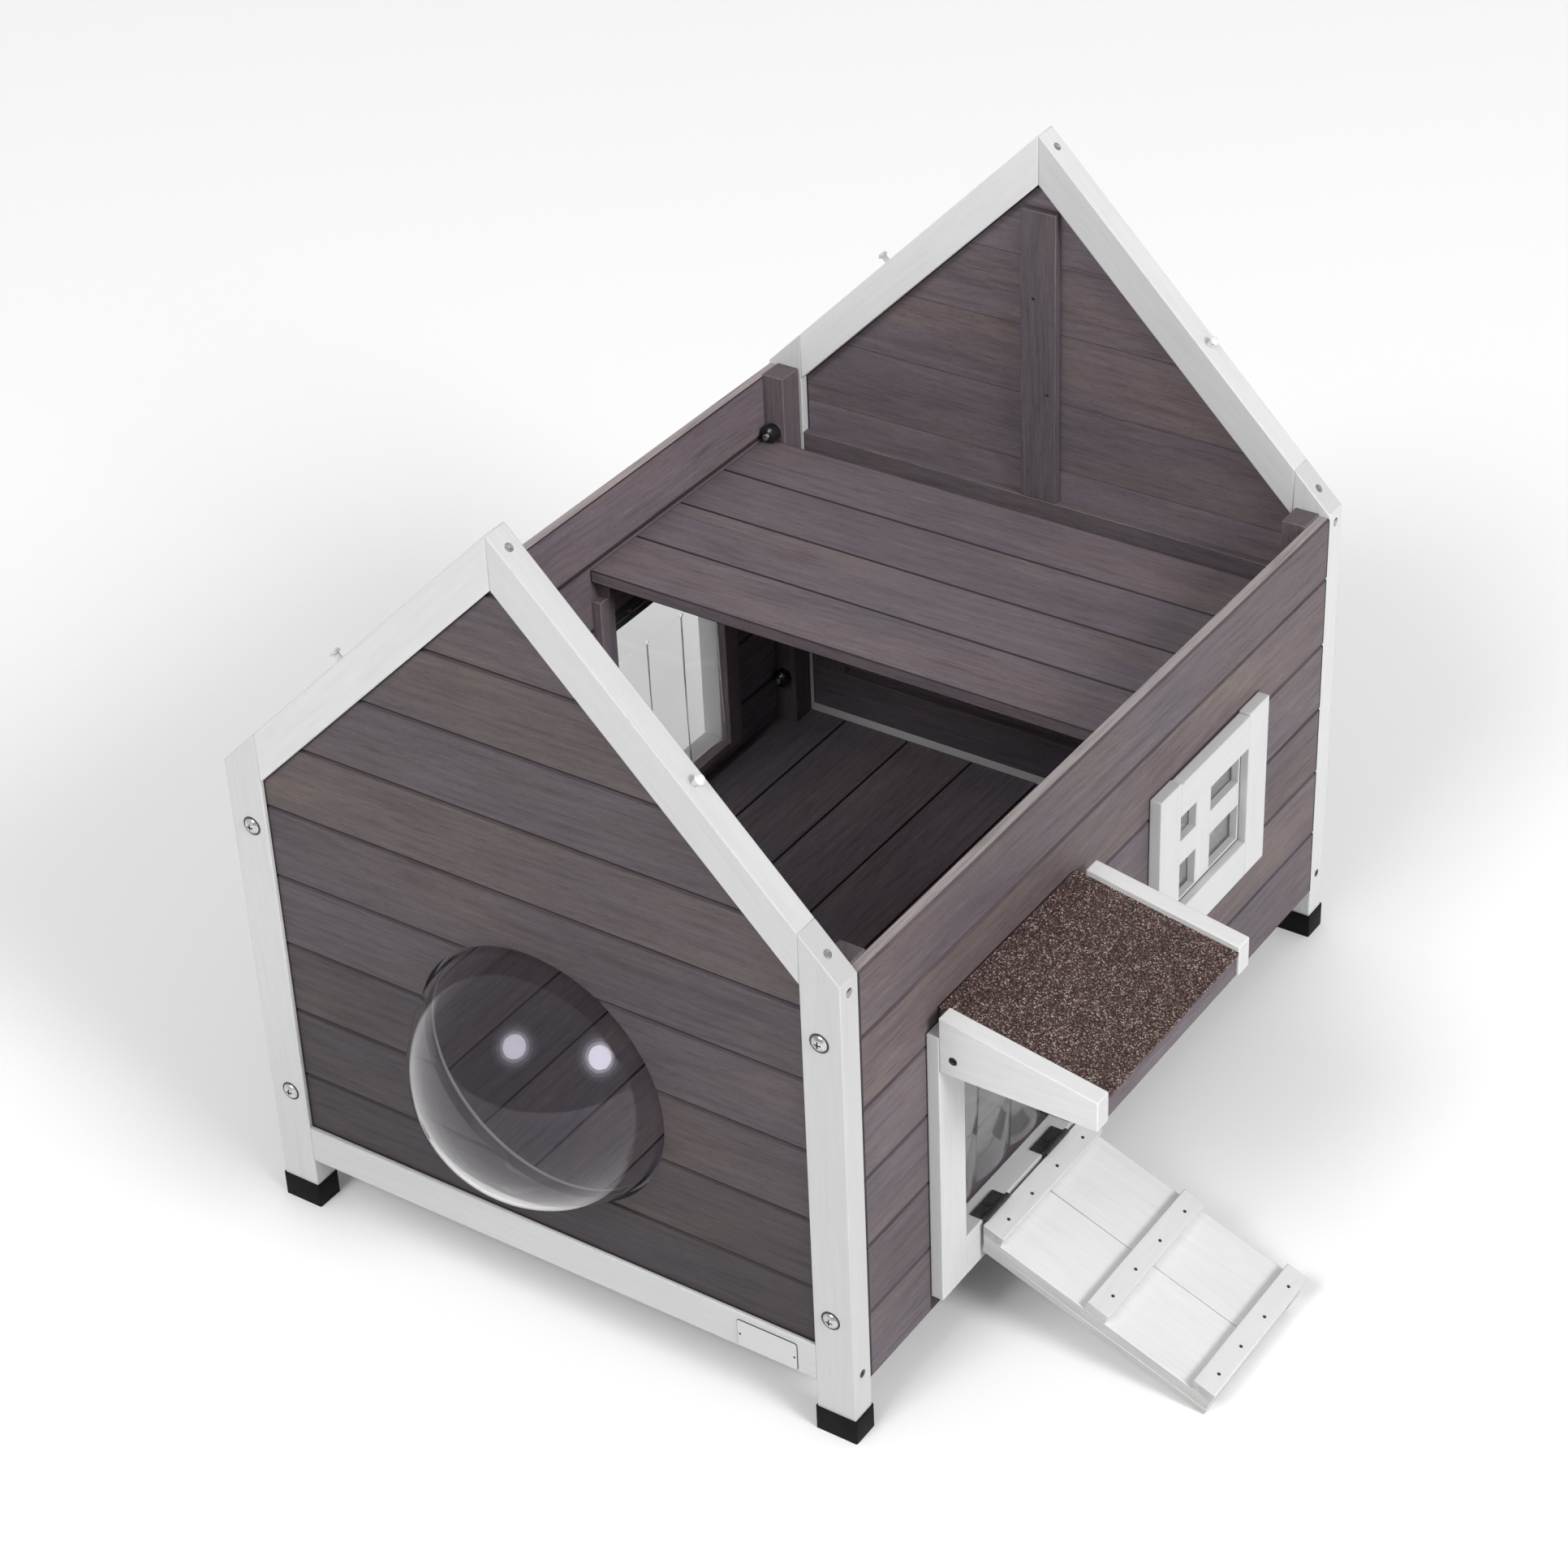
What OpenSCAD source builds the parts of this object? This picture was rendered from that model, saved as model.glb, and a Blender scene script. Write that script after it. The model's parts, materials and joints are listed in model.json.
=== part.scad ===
// Outdoor cat house with a bubble window, two flap doors, an inner deck and a hinged ramp.
// Millimetres, +Z up. The bubble gable faces -Y, the ramp side faces +X.
// The house is drawn from its own datum (front gable face at y = 0, mid plane at x = 0) and is
// then moved so that the middle of its footprint box stands on the origin.

/* [House] */
// Width over the gable posts
house_w = 570; // [520:1:640]
// Length over the two gable frames
house_l = 782; // [760:1:840]
// Height of the outer corner of a gable post
eave_z = 441; // [436:1:480]
// Roof pitch of the gable frames in degrees
roof_pitch = 45; // [40:0.5:50]

/* [Gable frames] */
// Width of a gable post seen from the front
post_w = 35; // [30:1:42]
// Depth of the gable frame stock
frame_t = 23; // [22:0.5:30]
// Width of a rafter square to its length
rafter_w = 32; // [28:1:40]
// Underside of the bottom rails
rail_z = 50; // [44:1:60]
// Height of the bottom rails
rail_h = 35; // [30:1:40]
// Depth of the groove that holds the gable planks
groove_d = 5; // [3:0.5:7]
// Set back of the gable planks from the outer face
plank_recess = 4; // [2:0.5:4]

/* [Planks] */
// Thickness of the wall planks
plank_t = 10; // [9:0.5:11]
// Pitch of the wall planks
wall_pitch = 66; // [60:0.5:68]
// Pitch of the gable planks
gable_pitch = 66.7; // [62:0.1:70]
// Height of the first plank joint of a gable
gable_joint_z = 140; // [130:1:145]
// Chamfer on the outer plank edges
plank_ch = 1.6; // [0.8:0.1:2]
// Open joint between two planks
plank_gap = 0.4; // [0.3:0.1:0.8]
// Height of the plank tongue
tongue_h = 4; // [2:0.5:5]
// Thickness of the plank tongue
tongue_t = 3; // [2:0.2:3.4]
// Top of the side walls
wall_top = 439; // [420:1:440]

/* [Corner posts and feet] */
// Corner post width across the house
corner_w = 22; // [20:1:26]
// Corner post depth along the house
corner_d = 26; // [24:1:30]
// Top of the corner posts
corner_top = 441; // [430:1:450]
// Height of a foot cap
cap_h = 23; // [18:1:30]
// Wall of a foot cap
cap_wall = 1.2; // [1:0.1:2]
// Base thickness of a foot cap
cap_base = 3; // [2:0.5:5]

/* [Bolts and screws] */
// Shank of the panel bolts
bolt_d = 6; // [5:0.5:7]
// Head of the panel bolts
bolt_head_d = 14; // [12:0.5:16]
// Height of the lower panel bolts
bolt_z_low = 118; // [105:1:130]
// Height of the upper panel bolts
bolt_z_high = 384.5; // [384.5:0.5:400]
// Diameter of the knob nuts
knob_d = 17; // [15:0.5:17]
// Length of the knob nuts
knob_l = 11; // [8:0.5:14]
// Shank of the frame screws
screw_d = 3.4; // [3:0.1:4]

/* [Bubble window] */
// Sideways place of the bubble centre
bubble_x = 0; // [-10:1:10]
// Height of the bubble centre
bubble_z = 241.5; // [236:0.5:250]
// Radius of the dome where it passes the planks
bubble_r = 115; // [105:0.5:118]
// Rise of the dome from its flange
bubble_rise = 105; // [90:1:112]
// Sheet thickness of the dome
bubble_t = 2.5; // [2:0.1:3]
// Width of the flange behind the planks
bubble_lip = 13; // [11:0.5:14]

/* [Floor and deck] */
// Floor surface
floor_z = 70; // [66:1:74]
// Floor and bearer thickness
floor_t = 10; // [8:0.5:10]
// Pitch of the floor planks
floor_pitch = 71; // [66:0.5:72]
// Deck surface
deck_z = 375.5; // [365:0.5:375.5]
// Deck plank thickness
deck_t = 12; // [9:0.5:14]
// Front edge of the deck measured from the front gable face
deck_y = 459; // [450:1:480]
// Number of deck planks
deck_n = 4; // [3:1:5]

/* [Doors] */
// Middle of the ramp door measured from the front gable face
door_y = 228; // [225:1:240]
// Middle of the opposite door measured from the back gable face
left_door_in = 223; // [217:1:232]
// Clear width of a door
door_w = 162; // [155:1:170]
// Top of the sill of the ramp door
sill_z = 105; // [103:1:112]
// Top of the sill of the opposite door
left_sill_z = 96; // [93:1:110]
// Underside of the door header
head_z = 296; // [290:1:300]
// Width of a door stile
stile_w = 36; // [32:1:38]
// Thickness of the door and window frame boards
trim_t = 11; // [9:0.5:12]
// Bottom of the door frame
trim_z0 = 66; // [60:1:70]
// Top of the door frame
trim_z1 = 326; // [322:1:330]
// Rebate of the door frame inside the wall
rebate = 8; // [5:0.5:9]

/* [Flaps] */
// Thickness of the flap sheet
flap_t = 1.5; // [1:0.1:2]
// Height of the flap line where the slits end
flap_z = 262; // [255:1:268]
// Top edge of the flap sheet
flap_top = 316; // [314:1:320]
// Strips in one flap
flap_n = 3; // [3:1:3]
// Width of a slit
slit_w = 0.8; // [0.7:0.1:1.5]
// Relief hole at the top of a slit
slit_hole_d = 5; // [4:0.5:7]

/* [Wall window] */
// Middle of the wall window measured from the front gable face
win_y = 544; // [538:1:550]
// Clear width of the wall window
win_w = 118; // [110:1:122]
// Bottom of the clear opening
win_z0 = 204; // [200:1:208]
// Underside of the top rail
win_z1 = 300; // [296:1:304]
// Width of the window frame boards
win_b = 34; // [30:1:36]
// Set back of the lattice from the face of the window frame
lattice_set = 7; // [5:0.5:8]
// Thickness of the lattice
lattice_t = 8; // [7:0.5:9]
// Rim of the lattice round its panes
lattice_rim = 1.5; // [1:0.5:4]
// Upright bar between the panes
bar_w = 24.5; // [16:0.5:28]
// Cross bar between the panes
bar_h = 23; // [12:0.5:26]
// Middle of the upright bar measured from the middle of the window
bar_y = -6; // [-8:0.5:8]
// Middle of the cross bar measured from the middle of the window
bar_z = 1.5; // [-6:0.5:6]

/* [Canopy] */
// Reach of the canopy from the door frame
canopy_l = 135; // [120:1:145]
// Underside of the canopy brackets
canopy_z0 = 294; // [290:1:296]
// Top of a bracket at the wall
canopy_z1 = 345; // [340:1:350]
// Top of a bracket at its outer end
canopy_z2 = 321; // [318:1:326]
// Thickness of a bracket
bracket_t = 16; // [12:1:18]
// Thickness of the canopy board
canopy_t = 9; // [7:0.5:10]
// Thickness of the mineral sheet
shingle_t = 2.5; // [2:0.1:3]
// Height of the bracket above the mineral sheet
canopy_lip = 5; // [3:0.5:6]

/* [Ramp] */
// Width of the ramp
ramp_w = 157.5; // [150:0.5:158]
// Middle of the ramp measured from the middle between its hinges
ramp_shift = 12; // [9:0.5:12]
// Length of the ramp from the hinge line
ramp_l = 223; // [210:1:240]
// Thickness of the ramp boards
ramp_t = 10; // [8:0.5:11]
// Thickness of the rails under the ramp
ramp_rail_t = 7; // [5:0.5:8]
// Width of the rails under the ramp
ramp_rail_w = 18; // [14:1:24]
// Width of a cleat
cleat_w = 20; // [18:1:24]
// Thickness of a cleat
cleat_t = 9; // [8:0.5:10]
// Hinge line measured from the outer face of the door frame
hinge_x = 3; // [3:0.1:4]
// Hinge line above the sill
hinge_z = 2; // [2:0.1:2.2]
// Length of a hinge
hinge_w = 34; // [30:1:36]
// Radius of the hinge barrel
hinge_r = 2.5; // [2.5:0.1:2.8]
// Middle between the hinges measured from the front gable face
hinge_y = 233; // [230:1:236]
// Distance between the two hinges
hinge_pitch = 92; // [86:1:98]

/* [Fits] */
// Clearance of planks and trim in their seats
seat_fit = 0.2; // [0.1:0.05:0.3]
// Clearance of bolts and screws in their holes
hole_fit = 0.3; // [0.2:0.05:0.5]
// Gap between pieces that move against each other
move_gap = 0.3; // [0.3:0.05:0.5]

/* [Hidden] */
$fn = 64;
eps = 0.01;
hw = house_w / 2;
rise = tan(roof_pitch);
ridge_z = eave_z + hw * rise;
rafter_v = rafter_w / cos(roof_pitch);
hin = hw - post_w;
rail_top = rail_z + rail_h;
rail_lap = 7;
batten_w = 37;
batten_mid = 17.5;
back_batten_z = 339;
bearer_front = 70;
bearer_back = 105;
butt_joint = 0.2;
batten_top = ridge_z - rafter_v - 25;
wall_y0 = frame_t;
wall_y1 = house_l - frame_t;
wall_in = hw - plank_t;
trim_x = hw + trim_t;
corner_in = wall_in - corner_w;
bolt_x = wall_in - knob_d / 2 - 1;
left_door_y = house_l - left_door_in;
door_a = door_y - door_w / 2;
door_b = door_y + door_w / 2;
win_a = win_y - win_w / 2;
win_b2 = win_y + win_w / 2;
win_mid = (win_z0 + win_z1) / 2;
win_low_h = 35;
win_top_h = 32;
win_horn = 34;
deck_end = wall_y1 - corner_d - 0.2;
deck_pitch = (deck_end - deck_y) / deck_n;
batten_d = 10;
glazing_t = 2;
window_lap = 7;
window_gap = 1.5;
lattice_x = trim_x - lattice_set;
glazing_x = lattice_x - lattice_t;
rebate_x = glazing_x - glazing_t;
door_batten_z = 87;
batten_z1 = deck_z - deck_t - 18.5;
ledger_w = 13;
ledger_h = 18;
dome_r = (bubble_r * bubble_r + bubble_rise * bubble_rise) / (2 * bubble_rise);
dome_sink = dome_r - bubble_rise;
hole_r = bubble_r + 2;
lip_r = bubble_r + bubble_lip;
bubble_screw_r = (hole_r + lip_r) / 2 + 0.5;
flap_axis_x = wall_in - flap_t / 2;
flap_w = door_w - 2;
strip_pitch = flap_w / flap_n;
axis_x = trim_x + hinge_x;
axis_z = sill_z + hinge_z;
ramp_y = hinge_y + ramp_shift;
barrel_gap = 0.5;
// Top of the ramp boards below the hinge line, where the first cleat clears the barrel
ramp_drop = cleat_t + hinge_r + barrel_gap;
ramp_deep = ramp_drop + ramp_t + ramp_rail_t;
ramp_hyp = sqrt(ramp_l * ramp_l + ramp_deep * ramp_deep);
// Slope at which the lower edge of the ramp stands on the floor
ramp_deg = asin(axis_z / ramp_hyp) - atan(ramp_deep / ramp_l);
// Where the top of the first cleat meets the upright end of the ramp
ramp_u0 = (ramp_drop - cleat_t) * tan(ramp_deg);
canopy_rise = (canopy_z1 - canopy_z2) / canopy_l;
board_x0 = hw + 2;
board_x1 = trim_x + canopy_l - 2;
leaf_t = 1.5;
leaf_l = 15;
pin_r = 1.2;
leaf_screw_d = 2.6;
end_screw_l = 9;
end_screw_z = 9;
flap_screw_d = 2.4;
flap_screw_l = 6.5;
bubble_screw_d = 2.2;
nail_d = 1.2;
peg_x = 160;
peg_d = 5;
peg_in = 7;
peg_neck = 6;
peg_head_d = 9;
frame_screw = 46;
ridge_screw = 38;
short_screw = 12;
bracket_screw = 32;
// Box of the whole part, used to stand it on the origin
box_x0 = -trim_x;
box_x1 = axis_x + ramp_l * cos(ramp_deg) - (ramp_drop - cleat_t) * sin(ramp_deg);
box_y0 = plank_recess + plank_t - bubble_rise;
box_y1 = house_l + 3.5;
off_x = -(box_x0 + box_x1) / 2;
off_y = -(box_y0 + box_y1) / 2;

white = [0.93, 0.93, 0.92];
grey = [0.45, 0.40, 0.41];
dark = [0.30, 0.27, 0.28];
black = [0.06, 0.06, 0.06];
clear = [0.85, 0.92, 0.95, 0.35];
steel = [0.72, 0.72, 0.72];

// Moves a piece from the house datum to the part frame
module place() {
    translate([off_x, off_y, 0]) children();
}

// Turns a piece of the front gable into the same piece of the back gable
module to_back() {
    translate([0, house_l, 0]) mirror([0, 1, 0]) children();
}

// Turns a piece of the right wall into the same piece of the left wall
module to_left() {
    translate([0, house_l, 0]) rotate([0, 0, 180]) children();
}

// Turns a piece of the ramp door into the same piece of the opposite door
module to_left_door() {
    translate([0, door_y + left_door_y, 0]) rotate([0, 0, 180]) children();
}

module flip_x() {
    mirror([1, 0, 0]) children();
}

// Prism drawn in the X-Z plane between y0 and y1
module xz(y0, y1) {
    translate([0, y1, 0]) rotate([90, 0, 0]) linear_extrude(height = y1 - y0) children();
}

module box(x0, x1, y0, y1, z0, z1) {
    translate([x0, y0, z0]) cube([x1 - x0, y1 - y0, z1 - z0]);
}

// Section of one plank: outer face at 0, tongue up, groove down
module plank_section(h, tongue, groove) {
    t0 = (plank_t - tongue_t) / 2;
    g0 = t0 - seat_fit;
    g1 = plank_t - g0;
    gh = tongue_h + seat_fit;
    body = h - plank_gap;
    low = groove ? [[plank_ch, 0], [g0, 0], [g0, gh], [g1, gh], [g1, 0], [plank_t, 0]]
        : [[plank_ch, 0], [plank_t, 0]];
    high = tongue ? [[plank_t, body], [plank_t - t0, body], [plank_t - t0, body + tongue_h],
        [t0, body + tongue_h], [t0, body], [plank_ch, body]]
        : [[plank_t, body], [plank_ch, body]];
    polygon(concat([[0, plank_ch]], low, high, [[0, body - plank_ch]]));
}

// One plank of the front gable, running across the house
module gable_plank(z, h, tongue, groove) {
    translate([-hw, plank_recess, z]) rotate([90, 0, 90])
        linear_extrude(height = house_w) plank_section(h, tongue, groove);
}

// Outline of the gable panel, grown into the grooves of the frame
module gable_outline(grow) {
    a = hin + grow;
    z0 = rail_top - grow;
    peak = ridge_z - rafter_v + grow / cos(roof_pitch);
    polygon([[-a, z0], [a, z0], [a, peak - a * rise], [0, peak], [-a, peak - a * rise]]);
}

module gable_slot() {
    xz(plank_recess - seat_fit, plank_recess + plank_t + seat_fit)
        gable_outline(groove_d + seat_fit);
}

// Gable planks from joint number a to joint number b
module gable_planks(a, b) {
    intersection() {
        for (k = [a:b]) {
            gable_plank(gable_joint_z + (k - 1) * gable_pitch, gable_pitch, true, k > 0);
        }
        xz(0, frame_t) gable_outline(groove_d);
    }
}

// Countersunk frame screw: head surface at the origin, shank along -Z
module screw(l) {
    difference() {
        rotate_extrude() polygon([[0, -l], [0.3, -l], [screw_d / 2, -l + 4],
            [screw_d / 2, -2.2], [3.5, 0], [0, 0]]);
        translate([-2, -0.4, -0.9]) cube([4, 0.8, 1]);
        translate([-0.4, -2, -0.9]) cube([0.8, 4, 1]);
    }
}

module screw_hole(l) {
    r = (screw_d + hole_fit) / 2;
    rotate_extrude() polygon([[0, -l - 1], [r, -l - 1], [r, -2.2 - hole_fit], [3.7, -hole_fit / 2],
        [3.7, 3], [0, 3]]);
}

// Pan head screw: seat at the origin, head up, shank along -Z
module pan_screw(d, head_d, head_h, l) {
    difference() {
        union() {
            cylinder(d = head_d, h = head_h);
            translate([0, 0, -l]) cylinder(d = d, h = l + eps);
        }
        translate([-head_d * 0.3, -0.35, head_h - 0.6]) cube([head_d * 0.6, 0.7, 1]);
        translate([-0.35, -head_d * 0.3, head_h - 0.6]) cube([0.7, head_d * 0.6, 1]);
    }
}

// Screw into the sloped top of the right front post
module at_top_screw() {
    translate([hw - 17, frame_t / 2, eave_z + 17 * rise]) rotate([0, roof_pitch, 0])
        children();
}

// Slanted screw through the right front post into the rafter
module at_eave_screw() {
    translate([hw, frame_t / 2, eave_z - 11]) rotate([0, 115, 0]) translate([0, 0, -1.5])
        children();
}

// Screw through the right front post into the bottom rail
module at_rail_screw() {
    translate([hw, frame_t / 2, rail_z + 14]) rotate([0, 90, 0]) children();
}

// Screw through the right rafter into the left one, just beside the ridge
module at_ridge_screw() {
    translate([12, frame_t / 2, ridge_z - 12 * rise]) rotate([0, roof_pitch, 0]) children();
}

// Places of the two bolts of the right front post, pointing along +Y
module at_bolts() {
    for (z = [bolt_z_low, bolt_z_high]) {
        translate([bolt_x, 0, z]) rotate([-90, 0, 0]) children();
    }
}

// Right half of the front gable frame
module gable_post() {
    difference() {
        xz(0, frame_t) polygon([[hin, cap_base], [hw, cap_base], [hw, eave_z],
            [hin, eave_z + post_w * rise]]);
        gable_slot();
        at_bolts() translate([0, 0, -1]) cylinder(d = bolt_d + hole_fit, h = frame_t + 2);
        at_top_screw() screw_hole(short_screw);
        at_eave_screw() screw_hole(frame_screw);
        at_rail_screw() screw_hole(frame_screw);
    }
}

module rafter() {
    difference() {
        xz(0, frame_t) polygon([[hin, eave_z + post_w * rise - rafter_v],
            [hin, eave_z + post_w * rise], [0, ridge_z], [0, ridge_z - rafter_v]]);
        gable_slot();
        at_eave_screw() screw_hole(frame_screw);
        at_peg() translate([0, 0, -peg_in]) cylinder(d = peg_d + hole_fit, h = peg_in + 2);
    }
}

module gable_rail() {
    difference() {
        box(-hin, hin, 0, frame_t, rail_z, rail_top);
        gable_slot();
        box(-hin - 1, hin + 1, plank_recess + plank_t, frame_t + 1, rail_top - rail_lap,
            rail_top + 1);
        at_rail_screw() screw_hole(frame_screw);
        flip_x() at_rail_screw() screw_hole(frame_screw);
    }
}

module at_peg() {
    translate([peg_x, frame_t / 2, ridge_z - peg_x * rise]) rotate([0, roof_pitch, 0])
        children();
}

module peg() {
    translate([0, 0, -peg_in]) cylinder(d = peg_d, h = peg_in + peg_neck);
    translate([0, 0, peg_neck - eps]) cylinder(d1 = peg_head_d - 1, d2 = peg_head_d, h = 1.5);
    translate([0, 0, peg_neck + 1.5 - 2 * eps]) cylinder(d1 = peg_head_d, d2 = peg_head_d - 3, h = 2);
}

// Frame battens behind the planks of one gable
module gable_battens(z0, z1, z2) {
    y0 = plank_recess + plank_t;
    j = butt_joint;
    box(-hin, hin, y0, frame_t, rail_top - rail_lap, z0 - j);
    box(-hin, hin, y0, frame_t, z1, z1 + batten_w);
    box(hin - batten_w, hin, y0, frame_t, z0, z1 - j);
    box(-hin, -hin + batten_w, y0, frame_t, z0, z1 - j);
    box(-batten_mid, batten_mid, y0, frame_t, z1 + batten_w + j, z2);
}

module front_post_left() {
    color(white) place() flip_x() gable_post();
}

module front_post_right() {
    color(white) place() gable_post();
}

module back_post_left() {
    color(white) place() to_back() flip_x() gable_post();
}

module back_post_right() {
    color(white) place() to_back() gable_post();
}

module front_rafter_left() {
    color(white) place() difference() {
        flip_x() rafter();
        at_ridge_screw() screw_hole(ridge_screw);
    }
}

module front_rafter_right() {
    color(white) place() difference() {
        rafter();
        at_ridge_screw() screw_hole(ridge_screw);
    }
}

module back_rafter_left() {
    color(white) place() to_back() difference() {
        flip_x() rafter();
        at_ridge_screw() screw_hole(ridge_screw);
    }
}

module back_rafter_right() {
    color(white) place() to_back() difference() {
        rafter();
        at_ridge_screw() screw_hole(ridge_screw);
    }
}

module front_bottom_rail() {
    color(white) place() gable_rail();
}

module back_bottom_rail() {
    color(white) place() to_back() gable_rail();
}

module front_planks() {
    color(grey) place() gable_planks(5, 9);
}

// The planks that the round hole of the bubble window cuts
module front_window_planks() {
    color(grey) place() difference() {
        gable_planks(0, 4);
        translate([bubble_x, -1, bubble_z]) rotate([-90, 0, 0])
            cylinder(r = hole_r, h = frame_t + 2);
        at_bubble_screws() translate([0, 0, -8])
            cylinder(d = bubble_screw_d + hole_fit, h = 10);
    }
}

module back_planks() {
    color(grey) place() to_back() gable_planks(0, 9);
}

module front_gable_battens() {
    color(dark) place()
        gable_battens(bubble_z - lip_r - 1.5, bubble_z + lip_r + 6.5, batten_top);
}

module back_gable_battens() {
    color(dark) place() to_back()
        gable_battens(rail_top + batten_w, back_batten_z, batten_top);
}

// Section of the dome with its flange, axis along Y, flange face at 0
module dome_section() {
    inner = sqrt(pow(dome_r - bubble_t, 2) - dome_sink * dome_sink);
    intersection() {
        difference() {
            translate([0, -dome_sink]) circle(r = dome_r, $fn = 180);
            translate([0, -dome_sink]) circle(r = dome_r - bubble_t, $fn = 180);
        }
        square([bubble_r + 5, bubble_rise + 5]);
    }
    translate([inner, -bubble_t]) square([lip_r - inner, bubble_t]);
}

// Clear dome blown from sheet, with a flat flange that seats on the inner face of the planks
module bubble_window() {
    color(clear) place() difference() {
        translate([bubble_x, plank_recess + plank_t, bubble_z]) rotate([90, 0, 0])
            rotate_extrude($fn = 128) dome_section();
        at_bubble_screws() translate([0, 0, -8])
            cylinder(d = bubble_screw_d + hole_fit, h = 14);
    }
}

module at_bubble_screws() {
    for (a = [22.5:45:360]) {
        translate([bubble_x + bubble_screw_r * cos(a), plank_recess + plank_t,
            bubble_z + bubble_screw_r * sin(a)]) rotate([-90, 0, 0]) children();
    }
}

// One plank of the right wall
module wall_plank(z, h, tongue, groove) {
    translate([hw, wall_y1, z]) mirror([1, 0, 0]) rotate([90, 0, 0])
        linear_extrude(height = wall_y1 - wall_y0) plank_section(h, tongue, groove);
}

module wall_planks() {
    wall_plank(rail_z, wall_pitch, true, false);
    for (k = [1:4]) {
        wall_plank(rail_z + k * wall_pitch, wall_pitch, true, true);
    }
    wall_plank(rail_z + 5 * wall_pitch, wall_top - rail_z - 5 * wall_pitch + plank_gap,
        false, true);
}

module door_cut(sill) {
    r = rebate + seat_fit;
    box(wall_in - 1, hw + 1, door_a - r, door_b + r, sill - r, head_z + r);
    at_flap_screws() translate([0, 0, -flap_screw_l - hole_fit])
        cylinder(d = flap_screw_d + hole_fit, h = flap_screw_l + 1);
}

module window_cut() {
    box(wall_in - 1, hw + 1, win_a, win_b2, win_z0, win_z1);
}

module right_wall_planks() {
    color(grey) place() difference() {
        wall_planks();
        door_cut(sill_z);
        window_cut();
    }
}

module left_wall_planks() {
    color(grey) place() difference() {
        to_left() wall_planks();
        to_left_door() door_cut(left_sill_z);
    }
}

module corner_post() {
    difference() {
        box(corner_in, wall_in, frame_t, frame_t + corner_d, rail_z, corner_top);
        at_bolts() translate([0, 0, frame_t - 1])
            cylinder(d = bolt_d + hole_fit, h = corner_d + 2);
    }
}

module corner_posts() {
    color(dark) place() {
        corner_post();
        flip_x() corner_post();
        to_back() corner_post();
        to_back() flip_x() corner_post();
    }
}

module floor_planks() {
    z0 = floor_z - floor_t;
    color(dark) place() difference() {
        union() {
            for (k = [-3:2]) {
                box(k * floor_pitch + plank_gap, (k + 1) * floor_pitch - plank_gap, wall_y0,
                    wall_y1, z0, floor_z);
            }
            box(3 * floor_pitch + plank_gap, wall_in, wall_y0, wall_y1, z0, floor_z);
            box(-wall_in, -3 * floor_pitch - plank_gap, wall_y0, wall_y1, z0, floor_z);
        }
        for (s = [-1, 1]) {
            for (y = [wall_y0 - 1, wall_y1 - corner_d - seat_fit]) {
                translate([s > 0 ? corner_in - seat_fit : -wall_in - 1, y, z0 - 1])
                    cube([corner_w + seat_fit + 1, corner_d + seat_fit + 1, floor_t + 2]);
            }
        }
    }
}

module floor_bearers() {
    z1 = floor_z - floor_t;
    z0 = z1 - floor_t;
    in = wall_in - ledger_w;
    color(dark) place() {
        for (s = [-1, 1]) {
            box(s > 0 ? in : -wall_in, s > 0 ? wall_in : -in, wall_y0 + corner_d,
                wall_y1 - corner_d, z0, z1);
        }
        for (y = [bearer_front, house_l / 2 - batten_mid, house_l - bearer_back]) {
            box(-in + butt_joint, in - butt_joint, y, y + 2 * batten_mid, z0, z1);
        }
    }
}

module deck_planks() {
    color(grey) place() for (k = [0:deck_n - 1]) {
        box(-wall_in + 0.5, wall_in - 0.5, deck_y + k * deck_pitch + plank_gap,
            deck_y + (k + 1) * deck_pitch - (k < deck_n - 1 ? plank_gap : 0), deck_z - deck_t,
            deck_z);
    }
}

module deck_supports() {
    z1 = deck_z - deck_t;
    in = wall_in - ledger_w;
    color(dark) place() {
        for (s = [-1, 1]) {
            box(s > 0 ? in : -wall_in, s > 0 ? wall_in : -in, deck_y + 9, deck_end,
                z1 - ledger_h, z1);
        }
        box(-batten_mid, batten_mid, deck_y + 12, deck_end - 12, z1 - floor_t, z1);
    }
}

module door_stiles(sill) {
    for (s = [-1, 1]) {
        y0 = s < 0 ? door_a - stile_w : door_b;
        box(hw, trim_x, y0, y0 + stile_w, trim_z0, trim_z1);
        t0 = s < 0 ? door_a - rebate : door_b;
        box(wall_in, hw + eps, t0, t0 + rebate, sill - rebate, head_z + rebate);
    }
}

module door_sill(sill) {
    box(hw, trim_x, door_a, door_b, trim_z0, sill);
    box(wall_in, hw + eps, door_a, door_b, sill - rebate, sill);
}

module door_header() {
    box(hw, trim_x, door_a, door_b, head_z, trim_z1);
    box(wall_in, hw + eps, door_a, door_b, head_z, head_z + rebate);
}

module right_door_stiles() {
    color(white) place() door_stiles(sill_z);
}

module right_door_sill() {
    color(white) place() difference() {
        door_sill(sill_z);
        at_leaf_screws() translate([0, 0, -12]) cylinder(d = leaf_screw_d + hole_fit, h = 14);
    }
}

module right_door_header() {
    color(white) place() door_header();
}

module left_door_stiles() {
    color(white) place() to_left_door() door_stiles(left_sill_z);
}

module left_door_sill() {
    color(white) place() to_left_door() door_sill(left_sill_z);
}

module left_door_header() {
    color(white) place() to_left_door() door_header();
}

// Battens on the inner face of the wall round a door
module door_battens(sill) {
    x0 = wall_in - batten_d;
    box(x0, wall_in, door_a - 20, door_a, door_batten_z, batten_z1);
    box(x0, wall_in, door_b, door_b + 20, door_batten_z, batten_z1);
    box(x0, wall_in, door_a + butt_joint, door_b - butt_joint, door_batten_z, sill - 1);
}

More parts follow.
